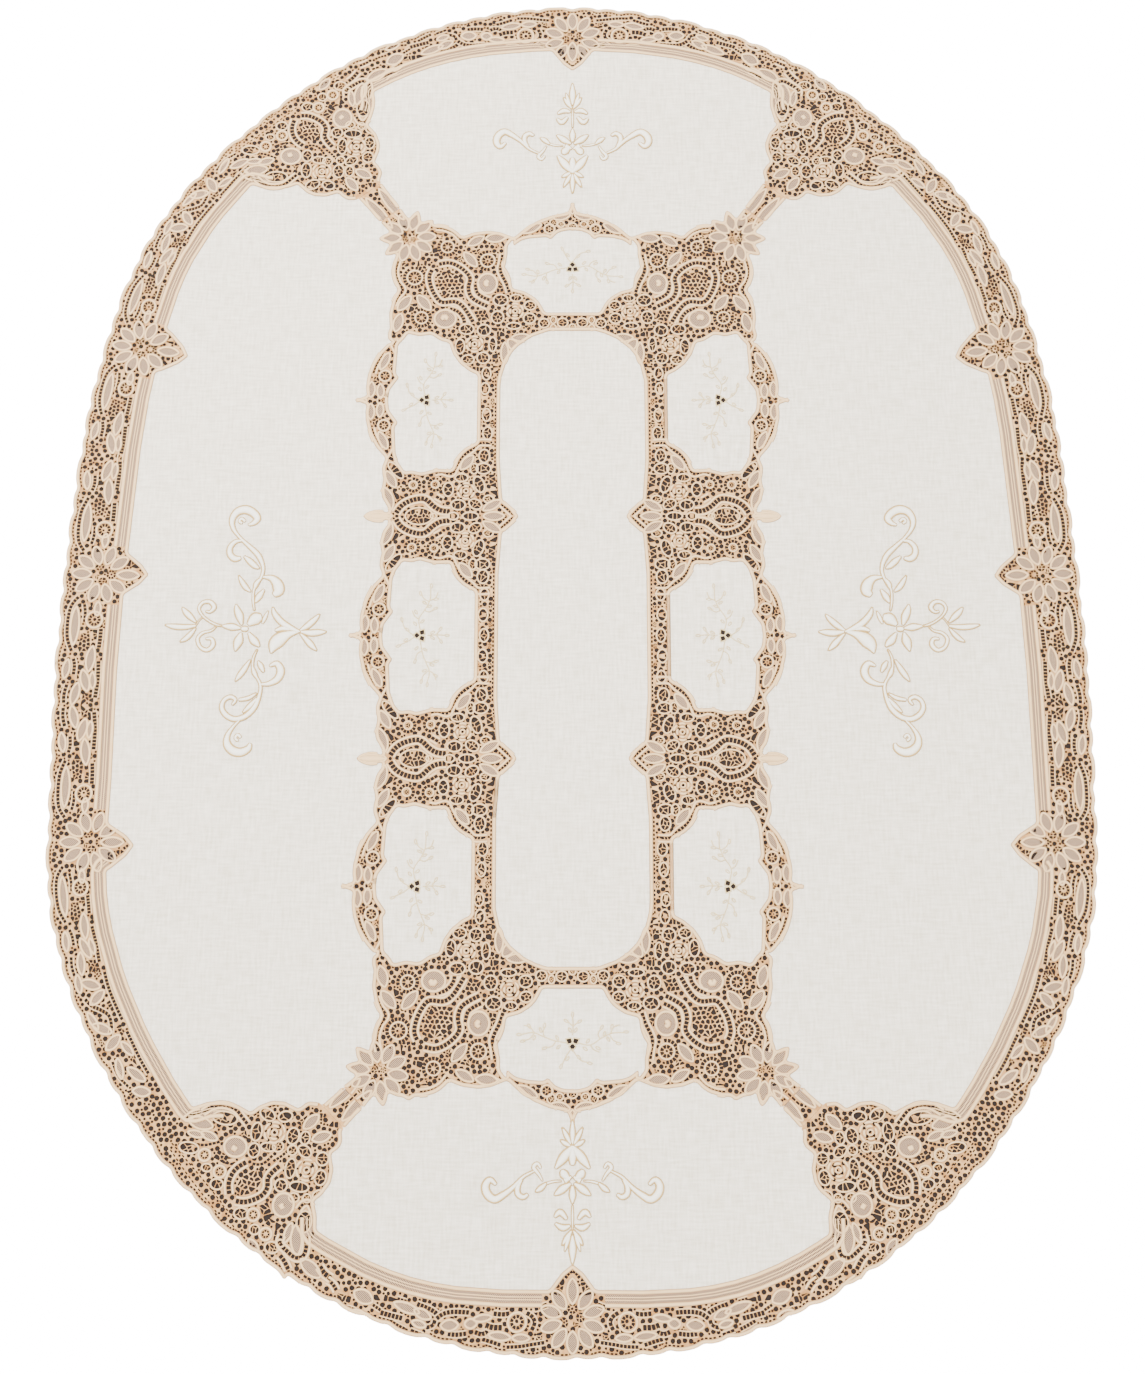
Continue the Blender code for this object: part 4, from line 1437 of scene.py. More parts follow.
MOTIF_LEAVES = rows(
    Leaf,
    (325, 0, 42, 15, 0), (311, 31, 38, 15, 70), (306, 65, 29, 10, 60), (178, 95, 28, 11, 130),
    (135, 19, 30, 10, 151),
)
MOTIF_SPIRALS = rows(Spiral, (268, 55, 3.0, 11.0, 80, 290), (231, 56, 3.0, 10.5, 90, -250))
MOTIF_PODS = rows(
    Pod,
    (298, 81, 34, 11, 49), (209, 47, 14, 22), (187, 68, 19, 11), (157, 56, 14, 27, -20), (192, 20, 21, 15),
    (163, 21, 20, 14, 30), (166, 84, 10, 16), (150, 84, 22, 16), (141, 30, 14, 10),
)
MOTIF_CLUSTERS = (
    ((304, 46), (281, 32), (292, 20)), ((141, 74), (131, 74), (125, 34), (138, 42)),
    ((252, 66), (248, 74), (256, 73)),
)
MOTIF_ROWS = rows(
    Route,
    (6.4, 5.8, ((296, 5), (287, 18), (272, 27), (253, 31), (243, 27), (234, 18), (221, 10), (205, 8))),
    (3.4, 5.6, ((263, 75), (250, 68))),
    (4.6, 5.4, ((232, 77), (220, 79), (204, 75), (198, 86), (187, 105), (170, 119), (158, 130), (137, 130))),
    (4.4, 5.2, ((119, 22), (98.6, 3))), (4.0, 5.4, ((230, 35), (218, 28))),
)
MOTIF_MIDDLE = rows(Pod, (257, 0, 44, 27), (233, 0, 7, 7), (200, 0, 15, 10), (171, 0, 24, 11))
MOTIF_ROSE = (179.0, 44.0, 16.0)
# How far a side motif's middle lies along the cloth from the centre.
MOTIF_Y = 206.5

CRESCENT_LEAVES = rows(Leaf, (321, 72, 30, 9, 115), (343, 20, 24, 9, 92), (327, 17, 22, 8, 88))
CRESCENT_ROWS = (Route(4.0, 5.4, ((341, 50), (336, 66), (325, 88))), Route(7.4, 5.4, ((307, 108), (298, 90))))
CRESCENT_CLUSTERS = (((330, 26), (342, 30), (338, 44), (330, 42)), ((308, 54), (316, 62), (308, 66)))
CRESCENT_MIDDLE = Pod(324, 0, 14, 12)
CRESCENT_TIP = Leaf(361, 0, 18, 7, 0)
END_LEAVES = rows(Leaf, (70, 733, 32, 9, 152), (18, 756, 26, 9, 165))
END_ROWS = (Route(4.0, 5.4, ((87, 730), (68, 745), (45, 755))),)
END_PODS = rows(Pod, (33, 744, 10, 12), (20, 741, 9, 8))
END_TIP = Leaf(0, 773, 20, 8, 90)

STRIP_OVALS = rows(
    Pod,
    (147, 462, 12, 20), (149, 435, 12, 18), (146, 387, 11, 20), (144, 354, 13, 20), (149, 313, 15, 21),
    (149, 101, 16, 21), (146, 70, 12, 18), (148, 35, 13, 20), (146, 0, 12, 20),
)
STRIP_GAPS = rows(
    Pod,
    (157, 371, 6, 13), (136, 371, 8, 15), (157, 412, 6, 12), (136, 411, 7, 13), (157, 52, 6, 12),
    (136, 52, 7, 12), (156, 17, 5, 10), (136, 18, 6, 10), (150, 84, 22, 8), (150, 335, 22, 8),
)
END_OVALS = rows(Pod, (17, 556, 15, 14), (49, 555, 15, 14), (33, 561, 7, 10), (33, 547, 7, 8), (0, 548, 8, 8))

SIGNS = (1, -1)
# Rows are worked this much wider and this much longer in pitch than their tables say.
ROW_FULLNESS, ROW_PITCH = 1.30, 1.13
# Groups of cells from this area on have larger cells and wider bars.
WEB_AREA = 900.0
WEB_CELLS = (7.8, 1.7)
# Rows narrower than this have no tapes beside them.
TAPED_ROW = 3.5


def flipped(side_x: int, side_y: int, about_y: float = 0.0) -> Place:
    """A mirror across one or both middles, whose own middle may lie elsewhere along the cloth."""
    return lambda p: (p[0] * side_x, about_y + p[1] * side_y)


def rigid(x: float, y: float, angle: float) -> Place:
    """A turn about the origin, then a move."""
    c, s = cos(radians(angle)), sin(radians(angle))
    return lambda p: (x + p[0] * c - p[1] * s, y + p[0] * s + p[1] * c)


def worked(leaves: Iterable[Leaf] = (), pods: Iterable[Pod] = (), clusters: Iterable[Loop] = (),
           routes: Iterable[Route] = (), spirals: Iterable[Spiral] = (), edges: float = 4.6) -> LaceWork:
    """Lace worked from its tables.

    Args:
        leaves: Leaves of net.
        pods: Ovals of cells.
        clusters: Convex outlines filled with cells.
        routes: Rows of cells.
        spirals: Rounds of cells.
        edges: Width of the tapes beside the wider rows.

    Returns:
        The work, in the tables' own place.
    """
    work = LaceWork()
    for width, pitch, points in routes:
        work.row(points, width * ROW_FULLNESS, pitch * ROW_PITCH, 0.9, edges if width > TAPED_ROW else 0.0)
    for spiral in spirals:
        work.spiral(spiral)
    for outline in clusters:
        work.cluster(list(outline), *(WEB_CELLS if abs(area(outline)) >= WEB_AREA else ()))
    for pod in pods:
        work.pod(pod, 6.8, 3.0)
    for leaf in leaves:
        work.leaf(leaf)
    return work


class LatticeChart:
    """The lattice round the centre panel, from its quarter and half charts."""

    def inner_corner(self) -> LaceWork:
        """The corner between the panel and the flower, without the flower."""
        work = worked(CORNER_LEAVES, CORNER_PODS, CORNER_CLUSTERS, CORNER_ROWS, CORNER_SPIRALS)
        for rose in CORNER_ROSES:
            work.rose(*rose)
        for lobe, bud in zip(CORNER_LOBES, CORNER_BUDS):
            work.bud(lobe, bud)
        return work

    def flower(self, side_y: int) -> LaceWork:
        """The flower at the foot of a bar, and the bar's two leaves.

        Args:
            side_y: 1 at the far end, -1 at the near end.

        Returns:
            The work in the quarter's place, its far side up.
        """
        x, y = CORNER_FLOWERS[side_y]
        motif_x, motif_y, motif_angle = CORNER_MOTIFS[side_y]
        foot_x, foot_y = turned([(MOTIF_FOOT, 0.0)], motif_angle, (motif_x, motif_y))[0]
        axis = atan2(foot_y - y, foot_x - x) * 180 / pi
        span = hypot(foot_x - x, foot_y - y)
        work = LaceWork()
        for pod in FLOWER_HEART:
            work.pod(pod, 5.2)
        work.petals(17, 44, range(18, 378, 36))
        for side in SIGNS:
            work.leaf(Leaf(span * 0.60, side * 13.5, span * 0.60, 11.0, side * 1.0), 4.6)
        work.row(((span * 0.46, 0), (span * 0.72, 0)), 3.6, 9.0, 1.6)
        work.cluster([(36, -5.5), (50, 0), (36, 5.5)], 5.6)
        return work.carried(rigid(x, y, axis))

    def side_motif(self) -> LaceWork:
        """Half of a side motif, about its own middle."""
        work = worked(MOTIF_LEAVES, MOTIF_PODS, MOTIF_CLUSTERS, MOTIF_ROWS, MOTIF_SPIRALS)
        work.rose(*MOTIF_ROSE)
        return work

    def work(self) -> LaceWork:
        """All the work of the lattice and the bars."""
        whole = LaceWork()
        corner = self.inner_corner()
        motif = self.side_motif()
        middle = worked(pods=MOTIF_MIDDLE)
        middle.leaf(Leaf(132, 0, 31, 11, 0))
        middle.tape(((303, 0), (325, 0), (347, 0)), 15.0, 0.9, 0.4)
        side_crescent = worked(CRESCENT_LEAVES, (), CRESCENT_CLUSTERS, CRESCENT_ROWS)
        side_crescent.rosette(320, 45, 9)
        crescent_tip = worked([CRESCENT_TIP], [CRESCENT_MIDDLE])
        end_crescent = worked(END_LEAVES, END_PODS, (), END_ROWS)
        end_crescent.rosette(40, 732, 8)
        strip = worked(pods=STRIP_OVALS)
        for gap in STRIP_GAPS:
            strip.pod(gap, 5.2)
        for start, end in ((500, 300), (112, 0)):
            strip.row(((131, start), (131, end)), 3.0, 7.0, 2.4)
        end_strip = worked(pods=END_OVALS)
        for side_x in SIGNS:
            for side_y in SIGNS:
                quarter = flipped(side_x, side_y)
                whole.take(corner.carried(quarter))
                whole.take(self.flower(side_y).carried(quarter))
                whole.take(end_crescent.carried(quarter))
                whole.take(strip.carried(quarter))
                whole.take(end_strip.carried(quarter))
                for half in SIGNS:
                    whole.take(motif.carried(flipped(side_x, half, side_y * MOTIF_Y)))
                whole.take(middle.carried(flipped(side_x, 1, side_y * MOTIF_Y)))
            for about_y in (0.0, 2 * MOTIF_Y, -2 * MOTIF_Y):
                for half in SIGNS:
                    whole.take(side_crescent.carried(flipped(side_x, half, about_y)))
                whole.take(crescent_tip.carried(flipped(side_x, 1, about_y)))
        for side_y in SIGNS:
            whole.take(worked([END_TIP], [Pod(0, 737, 12, 10)]).carried(flipped(1, side_y)))
        return whole


# ---- charts of the border ----
# The corner motif as it lies at the far end, in the first quarter.
OUTER_LEAVES = rows(
    Leaf,
    (349, 1031, 36, 14, 148), (441, 1013, 22, 9, 130), (378, 994, 40, 13, 103), (556, 845, 36, 14, 172),
    (539, 862, 24, 8, 165), (387, 818, 26, 11, 50), (367, 838, 26, 11, 25), (560, 862, 22, 6, 175),
    (392, 985, 26, 7, 80),
)
OUTER_LOBES = (
    ((398, 958), (410, 960), (419, 950), (415, 938)), ((511, 866), (508, 878), (495, 882), (484, 876)),
)
OUTER_BUDS = rows(Pod, (407, 946, 32, 35), (496, 872, 35, 30))
OUTER_ROWS = rows(
    Route,
    (5.4, 5.6, ((492, 943), (496, 928), (494, 914), (487, 902), (475, 892))),
    (5.6, 5.6, ((481, 951), (468, 951), (455, 946), (442, 937), (436, 925), (438, 911), (432, 900),
         (423, 890))),
    (3.4, 5.4, ((466, 893), (455, 893), (446, 888), (437, 876))),
    (3.4, 5.4, ((435, 885), (424, 876), (414, 865), (405, 859))),
    (4.6, 5.4, ((401, 990), (402, 1002), (390, 1011), (376, 1019), (364, 1016), (361, 1003), (364, 986))),
    (5.0, 5.4, ((399, 1019), (391, 1026), (382, 1038))), (3.6, 5.4, ((380, 1050), (371, 1054), (364, 1058))),
    (6.0, 5.6, ((336, 1026), (327, 1035), (315, 1041))), (4.2, 5.4, ((321, 1044), (312, 1048), (304, 1057))),
    (3.4, 5.4, ((357, 1060), (346, 1067), (332, 1071))), (3.2, 5.4, ((358, 1043), (345, 1048))),
    (3.8, 5.6, ((556, 829), (541, 817), (524, 813), (506, 817), (493, 828), (484, 836))),
    (3.4, 5.6, ((563, 877), (545, 877), (533, 873), (521, 868))), (3.4, 5.6, ((357, 990), (353, 972))),
    (3.6, 5.6, ((383, 950), (377, 940), (368, 938), (359, 950))),
    (3.6, 5.6, ((580, 843), (570, 833), (560, 829))), (3.4, 6.0, ((411, 1000), (411, 984))),
    (3.2, 6.0, ((478, 822), (462, 808), (446, 801))), (3.2, 6.0, ((346, 890), (348, 876))),
)
OUTER_PODS = rows(
    Pod,
    (413, 1010, 19, 14), (444, 988, 13, 12), (469, 968, 19, 14), (514, 931, 17, 13), (534, 909, 13, 9),
    (567, 884, 28, 14), (388, 916, 27, 12), (406, 891, 13, 27), (389, 863, 20, 13, -30), (360, 870, 16, 17),
    (358, 898, 15, 20), (468, 845, 14, 25), (446, 865, 20, 10), (431, 862, 14, 13), (411, 843, 16, 22),
    (456, 817, 23, 14, -25), (428, 816, 19, 13, 20), (408, 864, 12, 12), (392, 843, 12, 17),
    (371, 966, 20, 30), (520, 832, 36, 17), (467, 873, 15, 19), (416, 918, 16, 16), (393, 933, 13, 11),
    (357, 923, 15, 9, 30), (373, 931, 10, 10), (401, 1002, 10, 8),
)
OUTER_CLUSTERS = (
    ((403, 976), (411, 986), (430, 977), (424, 968)), ((430, 976), (444, 953), (432, 945), (420, 964)),
    ((527, 893), (508, 900), (503, 888), (521, 880)), ((508, 900), (492, 900), (491, 888), (503, 888)),
    ((498, 858), (479, 858), (485, 845)), ((410, 823), (398, 828), (394, 808)),
    ((377, 803), (374, 811), (353, 801)), ((360, 821), (344, 821), (348, 799)),
    ((374, 852), (350, 838), (372, 846)), ((579, 822), (560, 828), (576, 832)),
    ((417, 1005), (407, 1003), (405, 1015), (414, 1016)),
    ((303, 1060), (301, 1069), (281, 1072), (280, 1062)),
)
OUTER_WEB = ((485, 934), (474, 942), (462, 938), (450, 925), (445, 911), (448, 902), (462, 903), (478, 915))
OUTER_ROSES = ((381.0, 890.0, 18.0), (440.0, 842.0, 18.0))
OUTER_WHEELS = ((426, 992), (450, 967), (513, 912), (541, 891))
RIM_DASHES = (
    ((596, 880), (548, 918), (500, 958)), ((596, 890), (560, 925), (505, 973)),
    ((480, 985), (440, 1025), (400, 1052)), ((560, 905), (520, 944), (488, 968)),
    ((470, 1000), (440, 1016), (415, 1030)),
)

# A flower of the border: outward along the peak's axis, and across.
BLOOM_HEART = rows(
    Pod,
    (-5, 13, 16, 13, 20), (2, -12, 15, 14), (-7, -5, 9, 9), (9, 19, 8, 7), (12, -19, 8, 7),
)
# Half of the work between two flowers, by the length along the edge from a flower's middle and the depth.
SPAN_LEAVES = rows(
    Leaf,
    (90, 25, 62, 11, 0), (147, 57, 40, 11, -6), (184, 50, 34, 11, 16), (206, 34, 34, 10, -14),
    (164, 16, 28, 8, -8), (184, 63, 24, 6, 4), (60, 62, 20, 7, 0),
    (244, 40, 34, 12, 60), (268, 44, 32, 11, 110), (318, 30, 34, 12, 50), (346, 38, 34, 12, 105),
    (410, 50, 34, 12, 30), (438, 42, 30, 12, 60), (300, 19, 28, 8, 12), (236, 18, 26, 8, -10),
    (388, 26, 30, 9, -20), (366, 58, 26, 9, 20),
)
SPAN_ROWS = rows(
    Route,
    (4.8, 5.4, ((40, 27), (50, 19), (62, 14), (85, 12), (112, 14), (134, 23))),
    (4.4, 5.4, ((52, 38), (66, 41), (84, 41))), (5.8, 5.4, ((94, 71), (110, 71), (128, 70))),
    (5.8, 5.4, ((150, 71), (182, 72), (214, 69))), (5.0, 5.4, ((146, 27), (158, 30), (174, 29))),
    (5.0, 5.4, ((190, 19), (206, 15), (222, 15))),
    (5.6, 5.4, ((232, 73), (262, 71), (296, 72), (320, 73))),
    (5.6, 5.4, ((262, 20), (276, 27), (290, 42), (304, 52), (322, 48), (334, 38))),
    (5.6, 5.4, ((340, 72), (366, 72), (392, 71), (420, 72))), (4.8, 5.4, ((372, 20), (396, 17), (420, 24))),
)
SPAN_CLUSTERS = (
    ((102, 38), (104, 52), (128, 55), (146, 42), (128, 33)), ((156, 36), (182, 35), (178, 44), (158, 47)),
    ((204, 48), (226, 44), (226, 67), (208, 66)), ((208, 20), (226, 16), (226, 30), (214, 28)),
    ((38, 48), (54, 48), (60, 58), (42, 62)), ((96, 56), (114, 60), (112, 67), (96, 67)),
    ((282, 56), (300, 60), (298, 68), (280, 66)), ((224, 52), (238, 58), (236, 68), (226, 66)),
    ((326, 56), (344, 58), (340, 68), (324, 66)), ((384, 52), (398, 60), (392, 68), (378, 64)),
    ((424, 16), (440, 18), (438, 28), (426, 26)), ((330, 12), (344, 13), (342, 22), (332, 20)),
)
SPAN_WHEEL = Wheel(79.0, 58.0, 14.0, 5.88, 5.2)
# Work beside a flower stops this far along the edge from a corner motif, or where the ends begin.
CORNER_CLEAR = 126.0
END_FROM = 950.0
# Half of the work at an end of the cloth, between the end's flower and the ladder's corner.
FAR_LEAVES = rows(
    Leaf,
    (186, 1110, 22, 12, 0), (154, 1109, 14, 10, 0), (136, 1102, 24, 6, 5), (227, 1092, 24, 9, 152),
    (251, 1082, 38, 9, 157), (317, 1063, 28, 15, 150), (110, 1129, 30, 8, 170), (322, 1088, 22, 6, 155),
    (232, 1106, 18, 6, 160), (78, 1133, 22, 7, 176),
)
FAR_ROWS = rows(
    Route,
    (4.2, 5.4, ((100, 1145), (80, 1145), (62, 1143), (42, 1141))),
    (4.6, 5.4, ((137, 1132), (124, 1136), (108, 1142))), (3.0, 5.4, ((141, 1144), (126, 1150))),
    (5.0, 5.4, ((62, 1123), (57, 1112), (61, 1103), (70, 1097))),
    (5.4, 5.4, ((120, 1096), (106, 1098), (95, 1097))), (5.6, 5.6, ((148, 1121), (137, 1125), (127, 1121))),
    (6.6, 6.0, ((132, 1112), (121, 1116), (106, 1117))), (5.4, 5.4, ((189, 1122), (176, 1124), (160, 1123))),
    (5.4, 5.4, ((206, 1100), (195, 1093), (180, 1091), (156, 1093))),
    (4.8, 5.4, ((222, 1112), (211, 1109), (208, 1101))),
    (5.4, 5.4, ((236, 1077), (224, 1082), (213, 1087), (205, 1093))),
    (5.8, 5.6, ((291, 1087), (275, 1092), (257, 1097))), (3.6, 5.4, ((303, 1075), (290, 1084))),
    (4.4, 5.4, ((277, 1099), (266, 1106), (253, 1113))), (3.6, 5.4, ((245, 1114), (226, 1122))),
    (3.8, 5.4, ((266, 1068), (251, 1073))), (4.8, 5.4, ((342, 1078), (332, 1081), (325, 1087))),
    (3.4, 5.4, ((320, 1090), (296, 1092))), (5.6, 5.6, ((58, 1092), (48, 1090), (38, 1087))),
)
FAR_CLUSTERS = (
    ((302, 1061), (301, 1069), (270, 1073), (262, 1070), (288, 1060)),
    ((173, 1118), (163, 1118), (168, 1111)), ((56, 1140), (46, 1140), (45, 1125), (54, 1127)),
)
FAR_WHEEL = Wheel(84.0, 1110.0, 14.0, 5.4, 5.6)
# How much nearer the middle the near end's edge is than the far end's, and how that fades along it.
NEAR_END_SHIFT, NEAR_END_FADE = 41.0, 0.044
PEAK_LEAF_LENGTH, PEAK_LEAF_WIDTH = 32.0, 12.0
# The ladder's bars, the tape on its other side, and how far along the edge it keeps from flowers and motifs.
LADDER_WIDTH, LADDER_TAPE = 12.4, 7.0
LADDER_START, LADDER_END = 50.0, 128.0
# Its rails: how far apart they lie, and their width. Its net is cut every so many steps.
LADDER_COLUMN, LADDER_RAIL = 4.2, 2.0
LADDER_PART = 12
# The rim's slits: how far in they lie, their width and pitch, and how many of each group are cut.
RIM_CUT, RIM_CUT_WIDTH, RIM_CUT_PITCH = 7.8, 2.8, 6.4
RIM_GROUP, RIM_GROUP_CUT = 8, 6
# The width that the ladder and its tapes take, and the depth that the tables fill.
BRAID, SPAN_DEPTH = 24.0, 79.0
# Tape lace is worked along its tapes: these lengths, in metres, are the runs that its surface is laid along.
LACE_RUNS = {"lace_border": 6.3, "lace_lattice": 5.68}


class BorderLine:
    """The cloth's edge by length, clockwise from the far end."""

    def __init__(self) -> None:
        """Measures the edge in small steps."""
        self.angles = np.arange(90.0, -270.0001, -0.25)
        self.line = np.asarray([self.edge_point(a) for a in self.angles])
        self.lengths = np.r_[0.0, np.cumsum(np.hypot(*np.diff(self.line, axis=0).T))]
        way = np.gradient(self.line, axis=0)
        way[0] = way[-1] = (1.0, 0.0)
        self.way = way / np.hypot(way[:, 0], way[:, 1])[:, None]
        self.total = float(self.lengths[-1])

    def table_place(self, angle: float) -> tuple[float, bool]:
        """The place of an angle in the edge's table.

        Args:
            angle: The angle, in degrees.

        Returns:
            The place among the rows, and whether it is on the left.
        """
        angle = (angle + 180.0) % 360.0 - 180.0
        left = abs(angle) > 90.0
        if left:
            angle = 180.0 - angle if angle > 0 else -180.0 - angle
        return (EDGE[0].angle - angle) / EDGE_STEP, left

    def eased(self, values: Sequence[float], position: float) -> float:
        """A smooth value at a place among even rows, whose ends mirror."""
        last = len(values) - 1
        i = min(int(position), last - 1)
        four = values[abs(i - 1)], values[i], values[i + 1], values[last - abs(last - i - 2)]
        return catmull_rom(*four, position - i)

    def edge_point(self, angle: float) -> Point:
        """A point of the edge under its scallops, by its angle from the middle."""
        position, left = self.table_place(angle)
        radius = self.eased([row.left if left else row.right for row in EDGE], position)
        return radius * cos(radians(angle)), radius * sin(radians(angle))

    def band(self, length: float) -> float:
        """Width of the border at a length along the edge."""
        angle = float(np.interp(length % self.total, self.lengths, self.angles))
        return self.eased([row.band for row in EDGE], self.table_place(angle)[0])

    def place(self, length: float, depth: float) -> Point:
        """A point of the border.

        Args:
            length: Its length along the edge.
            depth: Its depth in from the edge.

        Returns:
            The point.
        """
        length %= self.total
        x, y = (float(np.interp(length, self.lengths, self.line[:, k])) for k in (0, 1))
        wx, wy = (float(np.interp(length, self.lengths, self.way[:, k])) for k in (0, 1))
        span = hypot(wx, wy)
        return x + wy / span * depth, y - wx / span * depth

    def length_at(self, x: float, y: float) -> float:
        """Length along the edge of the place nearest to a point."""
        return float(self.lengths[int(np.argmin(np.hypot(self.line[:, 0] - x, self.line[:, 1] - y)))])


class BorderChart:
    """The border: flowers with their peaks, the work between them, the corner motifs, ladder and rim."""

    def __init__(self, outer: Loop, inner: Loop) -> None:
        """Lays out the edge and the middles of the flowers."""
        self.outer, self.inner = outer, inner
        self.edge = BorderLine()
        self.blooms = [self.edge.length_at(row.x, row.y) for row in FLOWERS]
        self.corner_spans = [self.edge.length_at(x * side_x, y * side_y)
                             for side_x in SIGNS for side_y, (x, y, _) in CORNER_MOTIFS.items()]

    def bloom(self, row: Flower) -> LaceWork:
        """One flower and its peak.

        Args:
            row: Where it lies.

        Returns:
            The work in its place.
        """
        work = LaceWork()
        reach = hypot(row.tip_x - row.x, row.tip_y - row.y)
        axis = atan2(row.tip_y - row.y, row.tip_x - row.x) * 180 / pi
        for pod in BLOOM_HEART:
            work.pod(pod, 5.0)
        work.ring(15, 0, 6.2, 4.4, 5.0)
        work.petals(20, 48, range(36, 360, 36))
        work.leaf(Leaf(reach - 38, 0, PEAK_LEAF_LENGTH, PEAK_LEAF_WIDTH, 0), 4.6)
        for side in SIGNS:
            work.cluster([(reach - 42, side * 33), (reach - 45, side * 17), (reach - 24, side * 11.5),
                          (reach - 17, side * 15)], 6.8, 1.1)
            work.row(((reach - 20, side * 11), (reach - 12, side * 5.5), (reach - 9, 0)), 5.2, 6.0, 1.0)
        return work.carried(rigid(row.x, row.y, axis))

    def netted(self, leaves: Iterable[Leaf], clusters: Iterable[Loop], routes: Iterable[Route],
               wheel: Wheel) -> LaceWork:
        """Work beside a flower, with narrower tapes than the rest.

        Args:
            leaves: Leaves of net.
            clusters: Convex outlines filled with cells.
            routes: Rows of cells.
            wheel: Its wheel.

        Returns:
            The work, in the tables' own place.
        """
        work = worked(clusters=clusters, routes=routes, edges=2.0)
        for leaf in leaves:
            work.leaf(leaf, BORDER_RIM)
        work.wheel(wheel)
        return work

    def beside_bloom(self, half: LaceWork, at: float, side: int) -> LaceWork:
        """The work on one side of a flower, as far as halfway to the next.

        Args:
            half: The work, by its length along the edge from the flower and its depth.
            at: The flower's length along the edge.
            side: 1 onward along the edge, -1 back.

        Returns:
            The work in its place, no deeper than the border is wide.
        """
        halfway = min((side * (other - at)) % self.edge.total for other in self.blooms if other != at) / 2

        def kept(p: Point) -> bool:
            """Whether a point lies before halfway and beside no motif."""
            return p[0] < halfway - 5.0 and not self.beside_motif(at + side * p[0])

        def placed(p: Point) -> Point:
            """Where a point falls in the border."""
            length = at + side * p[0]
            return self.edge.place(length, p[1] * min(1.0, (self.edge.band(length) - BRAID) / SPAN_DEPTH))

        return half.only(kept).carried(placed)

    def corner_motif(self) -> LaceWork:
        """A corner motif about its ring, outward along its axis."""
        work = worked(OUTER_LEAVES, OUTER_PODS, OUTER_CLUSTERS, OUTER_ROWS)
        work.cluster(list(OUTER_WEB), 7.6, 1.7)
        for lobe, bud in zip(OUTER_LOBES, OUTER_BUDS):
            work.bud(lobe, bud)
        for rose in OUTER_ROSES:
            work.rose(*rose)
        for x, y in OUTER_WHEELS:
            work.ring(x, y, 4.9, 3.4, 4.6)
            work.round_tape(oval(x, y, 18.5, 18.5, 0.0, 20), 4.6, 1.0)
        for route in RIM_DASHES:
            work.row(route, 2.4, 8.0, 3.4)
        x, y, angle = CORNER_MOTIFS[1]
        back = rigid(0.0, 0.0, -angle)
        return work.carried(lambda p: back((p[0] - x, p[1] - y)))

    def near(self, marks: Sequence[float], length: float) -> float:
        """Distance along the edge to the nearest of some marks."""
        half = self.edge.total / 2
        return min(abs((length - at + half) % self.edge.total - half) for at in marks)

    def beside_motif(self, length: float) -> bool:
        """Whether a place along the edge belongs to a corner motif or an end."""
        _, y = self.edge.place(length, 0.0)
        return self.near(self.corner_spans, length) < CORNER_CLEAR or abs(y) > END_FROM

    def ladder_runs(self) -> list[Loop]:
        """Parts of the inner edge between the flowers and the corner motifs."""
        line = even(closed(self.inner), 3.0)
        lengths = [self.edge.length_at(x, y) for x, y in line]
        free = [self.near(self.corner_spans, at) >= LADDER_END and self.near(self.blooms, at) >= LADDER_START
                for at in lengths]
        first = free.index(False)
        return stretches(line[first:] + line[:first], free[first:] + free[:first], 7)

    def ladder(self) -> LaceWork:
        """The ladder braid beside the inner edge, and the tape on its other side."""
        work = LaceWork()
        for run in self.ladder_runs():
            middle = offset(run, EDGE_TAPE + LADDER_WIDTH / 2)
            low, high = offset(middle, -LADDER_WIDTH / 2), offset(middle, LADDER_WIDTH / 2)
            for k in range(0, len(low) - 1, LADDER_PART):
                part = slice(k, k + LADDER_PART + 1)
                work.nets.append(low[part] + high[part][::-1])
            for side in SIGNS:
                rail = even(offset(middle, side * LADDER_COLUMN / 2), 7.0)
                work.tapes.append(Tape([(x, y, LADDER_RAIL) for x, y in rail], 0.35))
            outer = even(offset(middle, (LADDER_WIDTH + LADDER_TAPE) / 2), 5.0)
            work.tapes.append(Tape([(x, y, LADDER_TAPE) for x, y in outer], 0.9))
        return work

    def rim(self) -> LaceWork:
        """The slits along the scallops."""
        work = LaceWork()
        edge = even_loop(self.outer, 4.0)
        line = even(closed(offset(edge, RIM_CUT, True)), RIM_CUT_PITCH)
        for k, (start, end) in enumerate(zip(line, line[1:])):
            if k % RIM_GROUP < RIM_GROUP_CUT:
                work.cells.append(cell_between(start, end, RIM_CUT_PITCH * 0.72, RIM_CUT_WIDTH))
        return work

    def work(self) -> LaceWork:
        """All the work of the border."""
        whole = LaceWork()
        for row in FLOWERS:
            whole.take(self.bloom(row))
        motif = self.corner_motif()
        for side_x in SIGNS:
            for side_y, (x, y, angle) in CORNER_MOTIFS.items():
                whole.take(motif.carried(rigid(x, y, angle)).carried(flipped(side_x, side_y)))
        half = self.netted(SPAN_LEAVES, SPAN_CLUSTERS, SPAN_ROWS, SPAN_WHEEL)
        for at in self.blooms:
            for side in SIGNS:
                whole.take(self.beside_bloom(half, at, side))
        end = self.netted(FAR_LEAVES, FAR_CLUSTERS, FAR_ROWS, FAR_WHEEL)
        for side in SIGNS:
            whole.take(end.carried(flipped(side, 1)))
            whole.take(end.carried(
                lambda p, s=side: (s * p[0], NEAR_END_SHIFT - NEAR_END_FADE * p[0] - p[1])))
        whole.take(self.ladder())
        whole.take(self.rim())
        return whole


